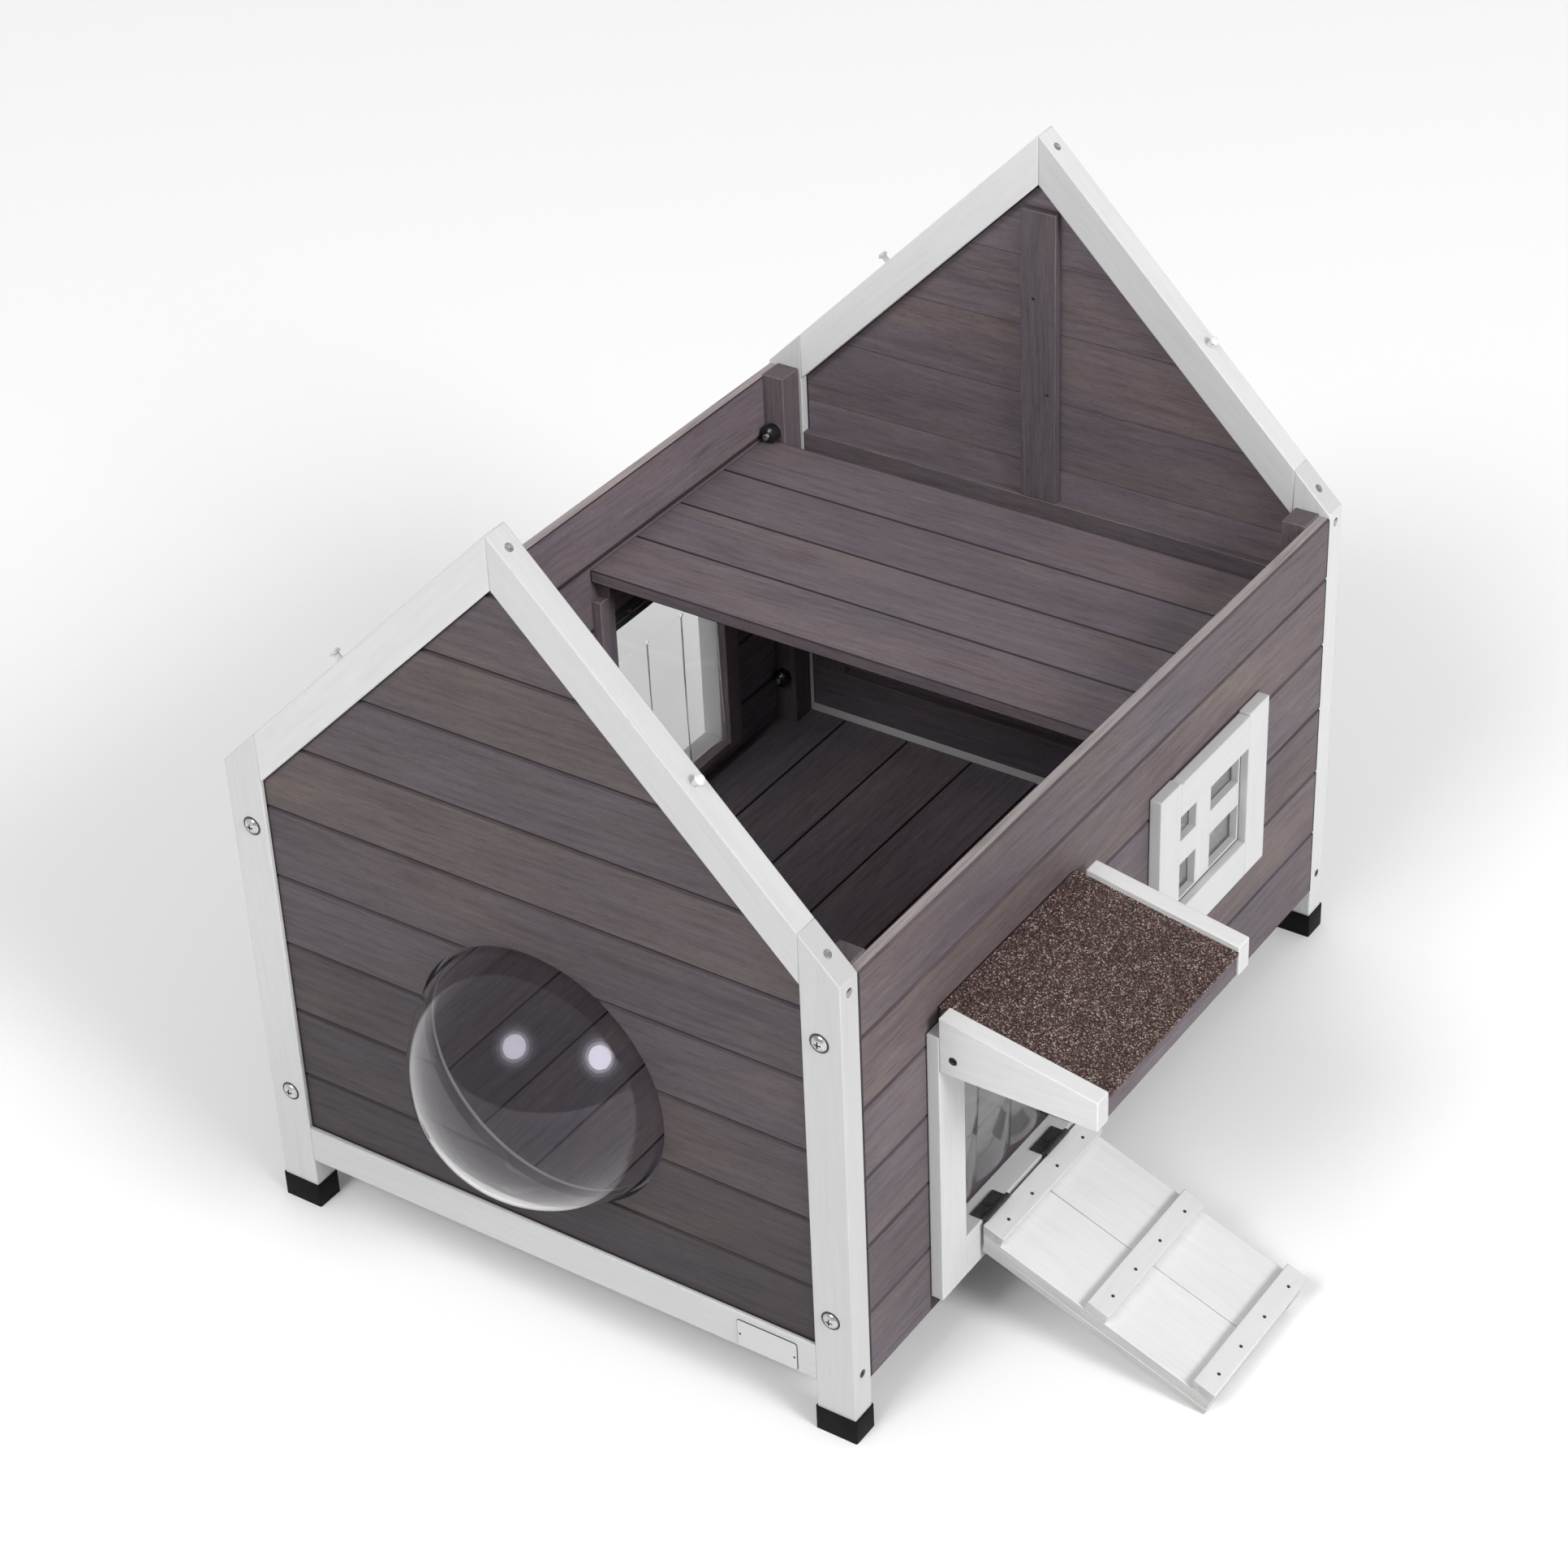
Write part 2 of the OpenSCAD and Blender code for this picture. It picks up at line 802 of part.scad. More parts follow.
// Rebated battens behind the window: wide part on the wall, lip in the opening behind the glazing
module window_battens() {
    x0 = wall_in - batten_d;
    x1 = wall_in - eps;
    a = win_a + window_lap;
    b = win_b2 - window_lap;
    z0 = win_z0 + window_lap;
    z1 = win_z1 - window_lap;
    j = butt_joint;
    f = seat_fit;
    box(x0, wall_in, win_a - 20, a, win_z0 - 20, win_z1 + 20);
    box(x1, rebate_x, win_a + f, a, win_z0 + f, win_z1 - f);
    box(x0, wall_in, b, win_b2 + 20, win_z0 - 20, win_z1 + 20);
    box(x1, rebate_x, b, win_b2 - f, win_z0 + f, win_z1 - f);
    box(x0, wall_in, a + j, b - j, win_z0 - 20, z0);
    box(x1, rebate_x, a + j, b - j, win_z0 + f, z0);
    box(x0, wall_in, a + j, b - j, z1, win_z1 + 20);
    box(x1, rebate_x, a + j, b - j, z1, win_z1 - f);
}

module right_wall_battens() {
    color(dark) place() {
        door_battens(sill_z);
        window_battens();
    }
}

module left_wall_battens() {
    color(dark) place() to_left_door() door_battens(left_sill_z);
}

module window_stiles() {
    color(white) place() {
        box(hw, trim_x, win_a - win_b, win_a, win_z0 - win_low_h, win_z1 + win_horn);
        box(hw, trim_x, win_b2, win_b2 + win_b, win_z0 - win_low_h, win_z1 + win_horn);
    }
}

module window_rails() {
    color(white) place() {
        box(hw, trim_x, win_a, win_b2, win_z0 - win_low_h, win_z0);
        box(hw, trim_x, win_a, win_b2, win_z1, win_z1 + win_top_h);
    }
}

// Plate that fills the window opening with a gap round it, less this much on each side
module window_plate(x0, x1, less) {
    g = window_gap + less;
    box(x0, x1, win_a + g, win_b2 - g, win_z0 + g, win_z1 - g);
}

// White lattice with four panes, seated against the glazing sheet
module window_lattice() {
    yc = win_y + bar_y;
    zc = win_mid + bar_z;
    color(white) place() {
        difference() {
            window_plate(glazing_x, lattice_x, 0);
            window_plate(glazing_x - 1, lattice_x + 1, lattice_rim);
        }
        intersection() {
            window_plate(glazing_x, lattice_x, 0);
            union() {
                box(glazing_x, lattice_x, yc - bar_w / 2, yc + bar_w / 2, win_z0, win_z1);
                box(glazing_x, lattice_x, win_a, win_b2, zc - bar_h / 2, zc + bar_h / 2);
            }
        }
    }
}

module window_glazing() {
    color(clear) place() window_plate(rebate_x, glazing_x, 0);
}

// Height of the canopy line at x, measured down from the bracket tops
function roof_line(x, down) = canopy_z1 - (x - trim_x) * canopy_rise - down;

module sloped(x0, x1, d0, d1) {
    polygon([[x0, roof_line(x0, d1)], [x1, roof_line(x1, d1)], [x1, roof_line(x1, d0)],
        [x0, roof_line(x0, d0)]]);
}

module canopy_brackets() {
    y0 = door_a - stile_w;
    y1 = door_b + stile_w;
    color(white) place() difference() {
        for (y = [y0, y1 - bracket_t]) {
            xz(y, y + bracket_t) polygon([[trim_x, canopy_z0], [trim_x + canopy_l, canopy_z0],
                [trim_x + canopy_l, canopy_z2], [trim_x, canopy_z1]]);
        }
        at_bracket_screws() screw_hole(bracket_screw);
    }
}

module at_bracket_screws() {
    translate([trim_x + 12, door_a - stile_w, canopy_z0 + 15]) rotate([90, 0, 0]) children();
    translate([trim_x + 12, door_b + stile_w, canopy_z0 + 15]) rotate([-90, 0, 0]) children();
}

module canopy_board() {
    d0 = canopy_lip + shingle_t;
    color(dark) place() xz(door_a - stile_w + bracket_t, door_b + stile_w - bracket_t)
        sloped(board_x0, board_x1, d0, d0 + canopy_t);
}

module canopy_battens() {
    y0 = door_a - stile_w + bracket_t;
    y1 = door_b + stile_w - bracket_t;
    d = canopy_lip + shingle_t + canopy_t;
    color(dark) place() difference() {
        union() {
            xz(y0, y1) polygon([[trim_x, canopy_z0 + 5], [trim_x + 20, canopy_z0 + 5],
                [trim_x + 20, roof_line(trim_x + 20, d)], [trim_x, roof_line(trim_x, d)]]);
            xz(y0, y1) polygon([[board_x1 - 10, canopy_z0], [board_x1, canopy_z0],
                [board_x1, roof_line(board_x1, d)], [board_x1 - 10,
                roof_line(board_x1 - 10, d)]]);
        }
        at_bracket_screws() screw_hole(bracket_screw);
    }
}

module canopy_shingle() {
    color([0.25, 0.19, 0.17]) place()
        xz(door_a - stile_w + bracket_t, door_b + stile_w - bracket_t)
        sloped(board_x0, board_x1 + 1.5, canopy_lip, canopy_lip + shingle_t);
}

// Puts a piece drawn along the ramp (x down the slope, z square to it) at its rest
module at_ramp() {
    translate([axis_x, 0, axis_z]) rotate([0, ramp_deg, 0]) children();
}

// Everything on the house side of the hinge line, cut away so that the ramp's end is upright
module upright_end() {
    box(0, axis_x, 0, house_l, 0, axis_z);
}

module ramp_boards() {
    y0 = ramp_y - ramp_w / 2;
    color(white) place() difference() {
        at_ramp() for (k = [0, 1]) {
            box(0, ramp_l, y0 + k * (ramp_w / 2 + plank_gap / 2),
                y0 + (k + 1) * ramp_w / 2 - (1 - k) * plank_gap / 2, -ramp_drop - ramp_t,
                -ramp_drop);
        }
        upright_end();
        at_nails() translate([0, 0, -cleat_t - 7]) cylinder(d = nail_d + hole_fit, h = 20);
    }
}

function cleat_u(k) = ramp_u0 + k * (ramp_l - ramp_u0 - cleat_w) / 2;

module ramp_cleats() {
    color(white) place() difference() {
        at_ramp() for (k = [0:2]) {
            box(k == 0 ? 0 : cleat_u(k), cleat_u(k) + cleat_w, ramp_y - ramp_w / 2,
                ramp_y + ramp_w / 2, -ramp_drop, cleat_t - ramp_drop);
        }
        upright_end();
        at_end_screws() translate([0, 0, -end_screw_l])
            cylinder(d = leaf_screw_d + hole_fit, h = end_screw_l);
        at_nails() translate([0, 0, -cleat_t - 7]) cylinder(d = nail_d + hole_fit, h = 20);
    }
}

module at_nails() {
    at_ramp() for (k = [0:2]) {
        for (f = [0.13, 0.36, 0.61, 0.87]) {
            translate([cleat_u(k) + cleat_w / 2 + 2, ramp_y + (f - 0.5) * ramp_w,
                cleat_t - ramp_drop]) children();
        }
    }
}

module ramp_nails() {
    color(steel) place() {
        at_nails() {
            cylinder(d = 2.8, h = 0.35);
            translate([0, 0, -cleat_t - 6]) cylinder(d = nail_d, h = cleat_t + 6 + eps);
        }
        at_end_screws() pan_screw(leaf_screw_d, 5, 1.1, end_screw_l);
    }
}

module ramp_rails() {
    color(white) place() difference() {
        at_ramp() for (s = [-1, 1]) {
            y = ramp_y + s * (ramp_w - ramp_rail_w) / 2;
            box(0, ramp_l, y - ramp_rail_w / 2, y + ramp_rail_w / 2, -ramp_deep,
                -ramp_drop - ramp_t);
        }
        upright_end();
    }
}

module at_hinges() {
    for (y = [hinge_y - hinge_pitch / 2, hinge_y + hinge_pitch / 2]) {
        translate([axis_x, y, axis_z]) children();
    }
}

module at_leaf_screws() {
    at_hinges() translate([-hinge_x - 5.5, 0, leaf_t - hinge_z]) children();
}

// Screws through the hanging leaves into the end of the first cleat
module at_end_screws() {
    at_hinges() translate([-leaf_t, 0, -end_screw_z]) rotate([0, -90, 0]) children();
}

function knuckle_l() = (hinge_w - 2 * move_gap) / 3;

// Fixed leaves: plate on the sill, two outer knuckles and the pin
module hinge_sill_leaves() {
    k = knuckle_l();
    color(black) place() difference() {
        at_hinges() {
            for (y = [-hinge_w / 2, hinge_w / 2 - k]) {
                translate([0, y, 0]) rotate([-90, 0, 0]) cylinder(r = hinge_r, h = k);
                translate([-hinge_x - 11, y, -hinge_z]) cube([hinge_x + 11, k, leaf_t]);
            }
            translate([-hinge_x - 11, -hinge_w / 2, -hinge_z])
                cube([hinge_x + 11 - hinge_r - move_gap, hinge_w, leaf_t]);
            translate([0, -hinge_w / 2, 0]) rotate([-90, 0, 0])
                cylinder(r = pin_r, h = hinge_w);
        }
        at_leaf_screws() translate([0, 0, -6]) cylinder(d = leaf_screw_d + hole_fit, h = 8);
    }
}

// Moving leaves: plate hanging on the upright end of the ramp, and the middle knuckle
module hinge_ramp_leaves() {
    k = knuckle_l();
    color(black) place() difference() {
        at_hinges() {
            translate([0, -k / 2, 0]) rotate([-90, 0, 0]) cylinder(r = hinge_r, h = k);
            translate([-leaf_t, -k / 2, -leaf_l]) cube([leaf_t, k, leaf_l]);
            translate([-leaf_t, -hinge_w / 2, -leaf_l])
                cube([leaf_t, hinge_w, leaf_l - hinge_r - move_gap]);
        }
        at_hinges() translate([0, -k, 0]) rotate([-90, 0, 0])
            cylinder(r = pin_r + move_gap, h = 2 * k);
        at_end_screws() translate([0, 0, -leaf_t - 1])
            cylinder(d = leaf_screw_d + hole_fit, h = leaf_t + 2);
    }
}

module at_slits() {
    for (k = [1:flap_n - 1]) {
        translate([wall_in - flap_t - 1, door_y - flap_w / 2 + k * strip_pitch, flap_z])
            rotate([0, 90, 0]) children();
    }
}

module at_flap_screws() {
    for (f = [0.18, 0.5, 0.82]) {
        translate([wall_in - flap_t, door_y - flap_w / 2 + f * flap_w, flap_top - 8])
            rotate([0, -90, 0]) children();
    }
}

// Upper part of the clear curtain, screwed over the top of the door
module flap_sheet() {
    difference() {
        box(wall_in - flap_t, wall_in, door_y - flap_w / 2, door_y + flap_w / 2,
            flap_z + flap_t / 2 + move_gap, flap_top);
        at_slits() cylinder(d = slit_hole_d, h = flap_t + 2);
        at_flap_screws() translate([0, 0, -4]) cylinder(d = flap_screw_d + hole_fit, h = 6);
    }
}

// One hanging strip, rounded about the line on which it bends
module flap_strip(k, sill) {
    y0 = door_y - flap_w / 2 + (k - 1) * strip_pitch + (k > 1 ? slit_w / 2 : 0);
    y1 = door_y - flap_w / 2 + k * strip_pitch - (k < flap_n ? slit_w / 2 : 0);
    difference() {
        union() {
            box(wall_in - flap_t, wall_in, y0, y1, sill + 3.5, flap_z);
            translate([flap_axis_x, y0, flap_z]) rotate([-90, 0, 0])
                cylinder(d = flap_t, h = y1 - y0);
        }
        at_slits() cylinder(d = slit_hole_d, h = flap_t + 2);
    }
}

module right_flap_sheet() {
    color(clear) place() flap_sheet();
}

module left_flap_sheet() {
    color(clear) place() to_left_door() flap_sheet();
}

module right_flap_strip_1() {
    color(clear) place() flap_strip(1, sill_z);
}

module right_flap_strip_2() {
    color(clear) place() flap_strip(2, sill_z);
}

module right_flap_strip_3() {
    color(clear) place() flap_strip(3, sill_z);
}

module left_flap_strip_1() {
    color(clear) place() to_left_door() flap_strip(1, left_sill_z);
}

module left_flap_strip_2() {
    color(clear) place() to_left_door() flap_strip(2, left_sill_z);
}

module left_flap_strip_3() {
    color(clear) place() to_left_door() flap_strip(3, left_sill_z);
}

// Domed bolt head with a cross recess, shank through post and corner post
module panel_bolt() {
    l = frame_t + corner_d + knob_l + 3;
    difference() {
        union() {
            intersection() {
                translate([0, 0, 6.5]) sphere(r = 10);
                translate([0, 0, -3.5]) cylinder(d = bolt_head_d, h = 3.5);
            }
            cylinder(d = bolt_d, h = l);
        }
        translate([-3, -0.6, -4]) cube([6, 1.2, 2]);
        translate([-0.6, -3, -4]) cube([1.2, 6, 2]);
    }
}

module panel_bolts() {
    color(steel) place() {
        at_bolts() panel_bolt();
        flip_x() at_bolts() panel_bolt();
        to_back() at_bolts() panel_bolt();
        to_back() flip_x() at_bolts() panel_bolt();
    }
}

module knob() {
    y = frame_t + corner_d;
    difference() {
        union() {
            translate([0, 0, y]) cylinder(d = knob_d, h = knob_l - 3);
            translate([0, 0, y + knob_l - 3 - eps]) cylinder(d1 = knob_d, d2 = 11, h = 3);
        }
        translate([0, 0, y - 1]) cylinder(d = bolt_d + hole_fit, h = knob_l + 3);
    }
}

module knob_nuts() {
    color(black) place() {
        at_bolts() knob();
        flip_x() at_bolts() knob();
        to_back() at_bolts() knob();
        to_back() flip_x() at_bolts() knob();
    }
}

module cap_outline(g, c) {
    x0 = hin - g;
    x1 = hw + g;
    y0 = -g;
    y1 = frame_t + g;
    polygon([[x0 + c, y0], [x1 - c, y0], [x1, y0 + c], [x1, y1 - c], [x1 - c, y1],
        [x0 + c, y1], [x0, y1 - c], [x0, y0 + c]]);
}

module foot_cap() {
    difference() {
        linear_extrude(height = cap_h) cap_outline(cap_wall + 0.1, 1);
        translate([hin - 0.1, -0.1, cap_base]) cube([post_w + 0.2, frame_t + 0.2, cap_h]);
    }
}

module foot_caps() {
    color(black) place() {
        foot_cap();
        flip_x() foot_cap();
        to_back() foot_cap();
        to_back() flip_x() foot_cap();
    }
}

module roof_pegs() {
    color(white) place() {
        at_peg() peg();
        flip_x() at_peg() peg();
        to_back() at_peg() peg();
        to_back() flip_x() at_peg() peg();
    }
}

module gable_screws() {
    for (m = [0, 1]) {
        mirror([m, 0, 0]) {
            at_top_screw() screw(short_screw);
            at_eave_screw() screw(frame_screw);
            at_rail_screw() screw(frame_screw);
        }
    }
    at_ridge_screw() screw(ridge_screw);
}

module frame_screws() {
    color(steel) place() {
        gable_screws();
        to_back() gable_screws();
        at_bracket_screws() screw(bracket_screw);
    }
}

module small_screws() {
    color(steel) place() {
        at_bubble_screws() translate([0, 0, bubble_t]) pan_screw(bubble_screw_d, 5, 1.6, 9);
        at_flap_screws() pan_screw(flap_screw_d, 6.5, 1.6, flap_screw_l);
        to_left_door() at_flap_screws() pan_screw(flap_screw_d, 6.5, 1.6, flap_screw_l);
        at_leaf_screws() pan_screw(leaf_screw_d, 5.5, 1, 10);
    }
}

front_post_left();
front_post_right();
back_post_left();
back_post_right();
front_rafter_left();
front_rafter_right();
back_rafter_left();
back_rafter_right();
front_bottom_rail();
back_bottom_rail();
front_planks();
front_window_planks();
back_planks();
front_gable_battens();
back_gable_battens();
bubble_window();
right_wall_planks();
left_wall_planks();
corner_posts();
floor_planks();
floor_bearers();
deck_planks();
deck_supports();
right_door_stiles();
right_door_sill();
right_door_header();
left_door_stiles();
left_door_sill();
left_door_header();
right_wall_battens();
left_wall_battens();
window_stiles();
window_rails();
window_lattice();
window_glazing();
canopy_brackets();
canopy_board();
canopy_battens();
canopy_shingle();
ramp_boards();
ramp_cleats();
ramp_rails();
ramp_nails();
hinge_sill_leaves();
hinge_ramp_leaves();
right_flap_sheet();
left_flap_sheet();
right_flap_strip_1();
right_flap_strip_2();
right_flap_strip_3();
left_flap_strip_1();
left_flap_strip_2();
left_flap_strip_3();
panel_bolts();
knob_nuts();
foot_caps();
roof_pegs();
frame_screws();
small_screws();
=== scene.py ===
import json
import math
import random

import bmesh
import bpy
from mathutils import Matrix, Vector


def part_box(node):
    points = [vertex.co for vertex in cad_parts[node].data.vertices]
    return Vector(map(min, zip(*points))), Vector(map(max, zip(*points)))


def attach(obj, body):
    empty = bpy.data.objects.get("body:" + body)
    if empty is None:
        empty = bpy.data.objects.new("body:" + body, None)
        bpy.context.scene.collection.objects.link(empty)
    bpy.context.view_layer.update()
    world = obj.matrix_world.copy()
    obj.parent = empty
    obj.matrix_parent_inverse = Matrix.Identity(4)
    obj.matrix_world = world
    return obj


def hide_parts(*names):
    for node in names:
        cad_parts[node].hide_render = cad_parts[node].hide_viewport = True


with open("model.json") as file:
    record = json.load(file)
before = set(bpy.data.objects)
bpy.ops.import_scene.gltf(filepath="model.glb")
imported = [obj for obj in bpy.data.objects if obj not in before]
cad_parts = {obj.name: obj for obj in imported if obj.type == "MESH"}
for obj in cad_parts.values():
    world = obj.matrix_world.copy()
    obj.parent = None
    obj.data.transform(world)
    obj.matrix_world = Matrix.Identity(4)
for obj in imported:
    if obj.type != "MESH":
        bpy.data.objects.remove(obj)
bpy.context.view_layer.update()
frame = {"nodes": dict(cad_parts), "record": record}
NODES = frame["nodes"]
BODY_OF = {n: b for b, names in frame["record"]["behaviour"]["bodies"].items() for n in names}

# The house's own coordinates start on the ground, under the middle of the front gable's outer face
HALF_WIDTH, DEPTH, GABLE_THICK = 0.285, 0.782, 0.023
front_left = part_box("front_post_left")[0]
DATUM = Vector((front_left.x + HALF_WIDTH, front_left.y, 0.0))
RAMP_SLOPE = math.radians(21.003)


# Node helpers
def put(tree, socket, value):
    """Joins a node's input to another node's output, or sets its value."""
    if isinstance(value, bpy.types.NodeSocket):
        tree.links.new(value, socket)
    else:
        socket.default_value = value


def node(tree, kind, inputs=None, **props):
    """A shader node with its properties and those of its inputs that are given."""
    n = tree.nodes.new("ShaderNode" + kind)
    for key, value in props.items():
        setattr(n, key, value)
    for key, value in (inputs or {}).items():
        if value is not None:
            put(tree, n.inputs[key], value)
    return n


def new_material(name):
    material = bpy.data.materials.new(name)
    material.use_nodes = True
    return material, material.node_tree


def finished(material, inputs):
    """The material, with the inputs of its shader joined or set."""
    tree = material.node_tree
    for key, value in inputs.items():
        put(tree, tree.nodes["Principled BSDF"].inputs[key], value)
    return material


def object_place(tree):
    return node(tree, "TexCoord").outputs["Object"]


def attribute(tree, name, output="Vector"):
    return node(tree, "Attribute", attribute_name=name).outputs[output]


def vmath(tree, operation, a, b=None, scale=None):
    return node(tree, "VectorMath", {0: a, 1: b, "Scale": scale}, operation=operation).outputs["Vector"]


def math_node(tree, operation, *values, clamp=False):
    return node(tree, "Math", dict(enumerate(values)), operation=operation, use_clamp=clamp).outputs[0]


def ramp(tree, factor, stops):
    """A colour for each value of the factor, from stops of (position, colour or grey)."""
    n = node(tree, "ValToRGB", {"Fac": factor})
    elements = n.color_ramp.elements
    while len(elements) < len(stops):
        elements.new(0.5)
    for element, (position, colour) in zip(elements, stops):
        element.position = position
        if isinstance(colour, (int, float)):
            colour = (colour, colour, colour)
        element.color = (*colour, 1.0)
    return n.outputs["Color"]


def span(tree, value, low, high, to_low=0.0, to_high=1.0):
    """A value eased from one range into another."""
    inputs = {"Value": value, "From Min": low, "From Max": high, "To Min": to_low, "To Max": to_high}
    return node(tree, "MapRange", inputs, interpolation_type="SMOOTHSTEP").outputs["Result"]


def noise(tree, vector, scale, detail=2.0, roughness=0.5, output="Fac"):
    inputs = {"Vector": vector, "Scale": scale, "Detail": detail, "Roughness": roughness}
    return node(tree, "TexNoise", inputs).outputs[output]


def mix_colour(tree, factor, a, b):
    """Two colours mixed. A mix node keeps the inputs and the output of its colours at 6, 7 and 2."""
    a, b = (colour if isinstance(colour, bpy.types.NodeSocket) else (*colour, 1.0) for colour in (a, b))
    return node(tree, "Mix", {0: factor, 6: a, 7: b}, data_type="RGBA").outputs[2]


def bump(tree, height, strength, distance):
    inputs = {"Height": height, "Strength": strength, "Distance": distance}
    return node(tree, "Bump", inputs).outputs["Normal"]


# Scales of the wood figure's textures, and the share of the knot cells that hold no knot
RINGS, FIBRES, STREAKS, BROAD, PATCHES, PORES, BENDS = 60, 1000, 210, 24, 15, 1500, 18
KNOT_CELLS, NO_KNOT = 6.5, 0.80


def wood_figure(tree):
    """Growth rings, fibres, streaks and knots in a board's own coordinates, z along the grain."""
    grain = attribute(tree, "grain")
    seed = node(tree, "SeparateXYZ", {"Vector": attribute(tree, "seed")})
    wander = noise(tree, vmath(tree, "MULTIPLY", grain, (1, 1, 0.12)), BENDS, 2, output="Color")
    wander = vmath(tree, "SCALE", vmath(tree, "SUBTRACT", wander, (0.5, 0.5, 0.5)), scale=0.022)
    flat = vmath(tree, "MULTIPLY", grain, (0, 1, 0.62))
    cells = node(tree, "TexVoronoi", {"Vector": vmath(tree, "ADD", flat, wander), "Scale": KNOT_CELLS})
    chance = node(tree, "SeparateXYZ", {"Vector": cells.outputs["Color"]})
    chosen = math_node(tree, "GREATER_THAN", chance.outputs[0], NO_KNOT)
    size = math_node(tree, "MULTIPLY_ADD", chance.outputs[1], 0.024, 0.018)
    away = math_node(tree, "DIVIDE", cells.outputs["Distance"], size)
    swell = math_node(tree, "MULTIPLY", span(tree, away, 4.5, 0.0), chosen)
    knot = math_node(tree, "MULTIPLY", span(tree, away, 1.2, 0.6), chosen)
    bent = vmath(tree, "ADD", grain, wander)
    bent = vmath(tree, "ADD", bent, vmath(tree, "SCALE", (0.012, 0.008, 0.0), scale=swell))
    rings = node(tree, "TexWave",
                 {"Vector": bent, "Scale": RINGS, "Distortion": 0.8, "Detail": 2.0, "Detail Scale": 0.5},
                 wave_type="RINGS", rings_direction="Z", wave_profile="SAW").outputs["Fac"]
    rings = ramp(tree, rings, [(0.0, 0.18), (0.62, 0.55), (0.93, 1.0), (1.0, 0.2)])
    fibre = noise(tree, vmath(tree, "MULTIPLY", grain, (1, 1, 0.045)), FIBRES, 3, 0.6)
    waved = vmath(tree, "ADD", grain, wander)
    streak = noise(tree, vmath(tree, "MULTIPLY", waved, (1, 1, 0.065)), STREAKS, 4, 0.62)
    broad = noise(tree, vmath(tree, "MULTIPLY", grain, (1, 1, 0.30)), BROAD, 4, 0.6)
    patch = noise(tree, vmath(tree, "MULTIPLY", grain, (1, 1, 0.32)), PATCHES, 2, 0.5)
    figure = {"grain": grain, "rings": rings, "fibre": fibre, "streak": streak, "broad": broad,
              "patch": patch, "knot": knot, "swell": swell}
    figure.update(zip(("board", "tone", "warm"), seed.outputs))
    figure.update({name: attribute(tree, name, "Fac") for name in ("worn", "cut", "joint", "pale")})
    return figure


# Materials
def stained_wood():
    """Grey-brown stain: cool and brown boards, dark knots and pores, worn edges and shaded joints."""
    material, tree = new_material("grey_stain_wood")
    f = wood_figure(tree)
    value = math_node(tree, "MULTIPLY", f["streak"], 0.42)
    value = math_node(tree, "MULTIPLY_ADD", f["fibre"], 0.36, value)
    value = math_node(tree, "MULTIPLY_ADD", f["broad"], 0.24, value)
    value = math_node(tree, "MULTIPLY_ADD", f["rings"], -0.05, value)
    cool = ramp(tree, value, [(0.34, (0.090, 0.073, 0.087)), (0.46, (0.130, 0.107, 0.126)),
                              (0.57, (0.156, 0.130, 0.150)), (0.70, (0.208, 0.176, 0.199))])
    brown = ramp(tree, value, [(0.34, (0.101, 0.073, 0.075)), (0.46, (0.149, 0.114, 0.116)),
                               (0.57, (0.178, 0.139, 0.140)), (0.70, (0.232, 0.188, 0.187))])
    hue = math_node(tree, "MULTIPLY_ADD", f["patch"], 3.4, -1.7)
    hue = math_node(tree, "ADD", hue, f["warm"], clamp=True)
    colour = mix_colour(tree, hue, cool, brown)
    warm = math_node(tree, "MULTIPLY", span(tree, f["broad"], 0.54, 0.70), span(tree, f["patch"], 0.50, 0.64))
    warm = math_node(tree, "MULTIPLY", warm, f["warm"], clamp=True)
    colour = mix_colour(tree, math_node(tree, "MULTIPLY", warm, 0.75), colour, (0.235, 0.178, 0.150))
    colour = mix_colour(tree, math_node(tree, "MULTIPLY", f["swell"], 0.22), colour, (0.110, 0.086, 0.082))
    colour = mix_colour(tree, math_node(tree, "MULTIPLY", f["knot"], 0.62), colour, (0.060, 0.047, 0.046))
    pores = noise(tree, vmath(tree, "MULTIPLY", f["grain"], (1, 1, 0.10)), PORES, 1, 0.5)
    colour = mix_colour(tree, span(tree, pores, 0.42, 0.28, 0.0, 0.50), colour, (0.060, 0.050, 0.056))
    colour = mix_colour(tree, math_node(tree, "MULTIPLY", f["cut"], 0.45), colour, (0.074, 0.060, 0.062))
    rub = math_node(tree, "MULTIPLY", f["worn"], span(tree, f["fibre"], 0.35, 0.70))
    colour = mix_colour(tree, math_node(tree, "MULTIPLY", rub, 0.35), colour, (0.27, 0.235, 0.225))
    gain = math_node(tree, "MULTIPLY", f["tone"], math_node(tree, "MULTIPLY_ADD", f["board"], 0.24, 0.88))
    colour = vmath(tree, "SCALE", colour, scale=gain)
    bare = math_node(tree, "MULTIPLY", f["pale"], span(tree, f["streak"], 0.30, 0.55, 0.55, 1.0))
    colour = mix_colour(tree, bare, colour, (0.47, 0.42, 0.41))
    # Dirt and painted shade in the joints, and painted shadow lines along the frames
    colour = mix_colour(tree, f["joint"], colour, (0.013, 0.009, 0.011))
    rough = math_node(tree, "MULTIPLY_ADD", f["streak"], -0.20, 0.72)
    height = math_node(tree, "MULTIPLY_ADD", f["rings"], 0.30, f["fibre"])
    height = math_node(tree, "MULTIPLY_ADD", f["streak"], 0.45, height)
    height = math_node(tree, "MULTIPLY_ADD", f["knot"], -0.5, height)
    return finished(material, {"Base Color": colour, "Roughness": rough, "Specular IOR Level": 0.36,
                               "Normal": bump(tree, height, 0.30, 0.0006)})


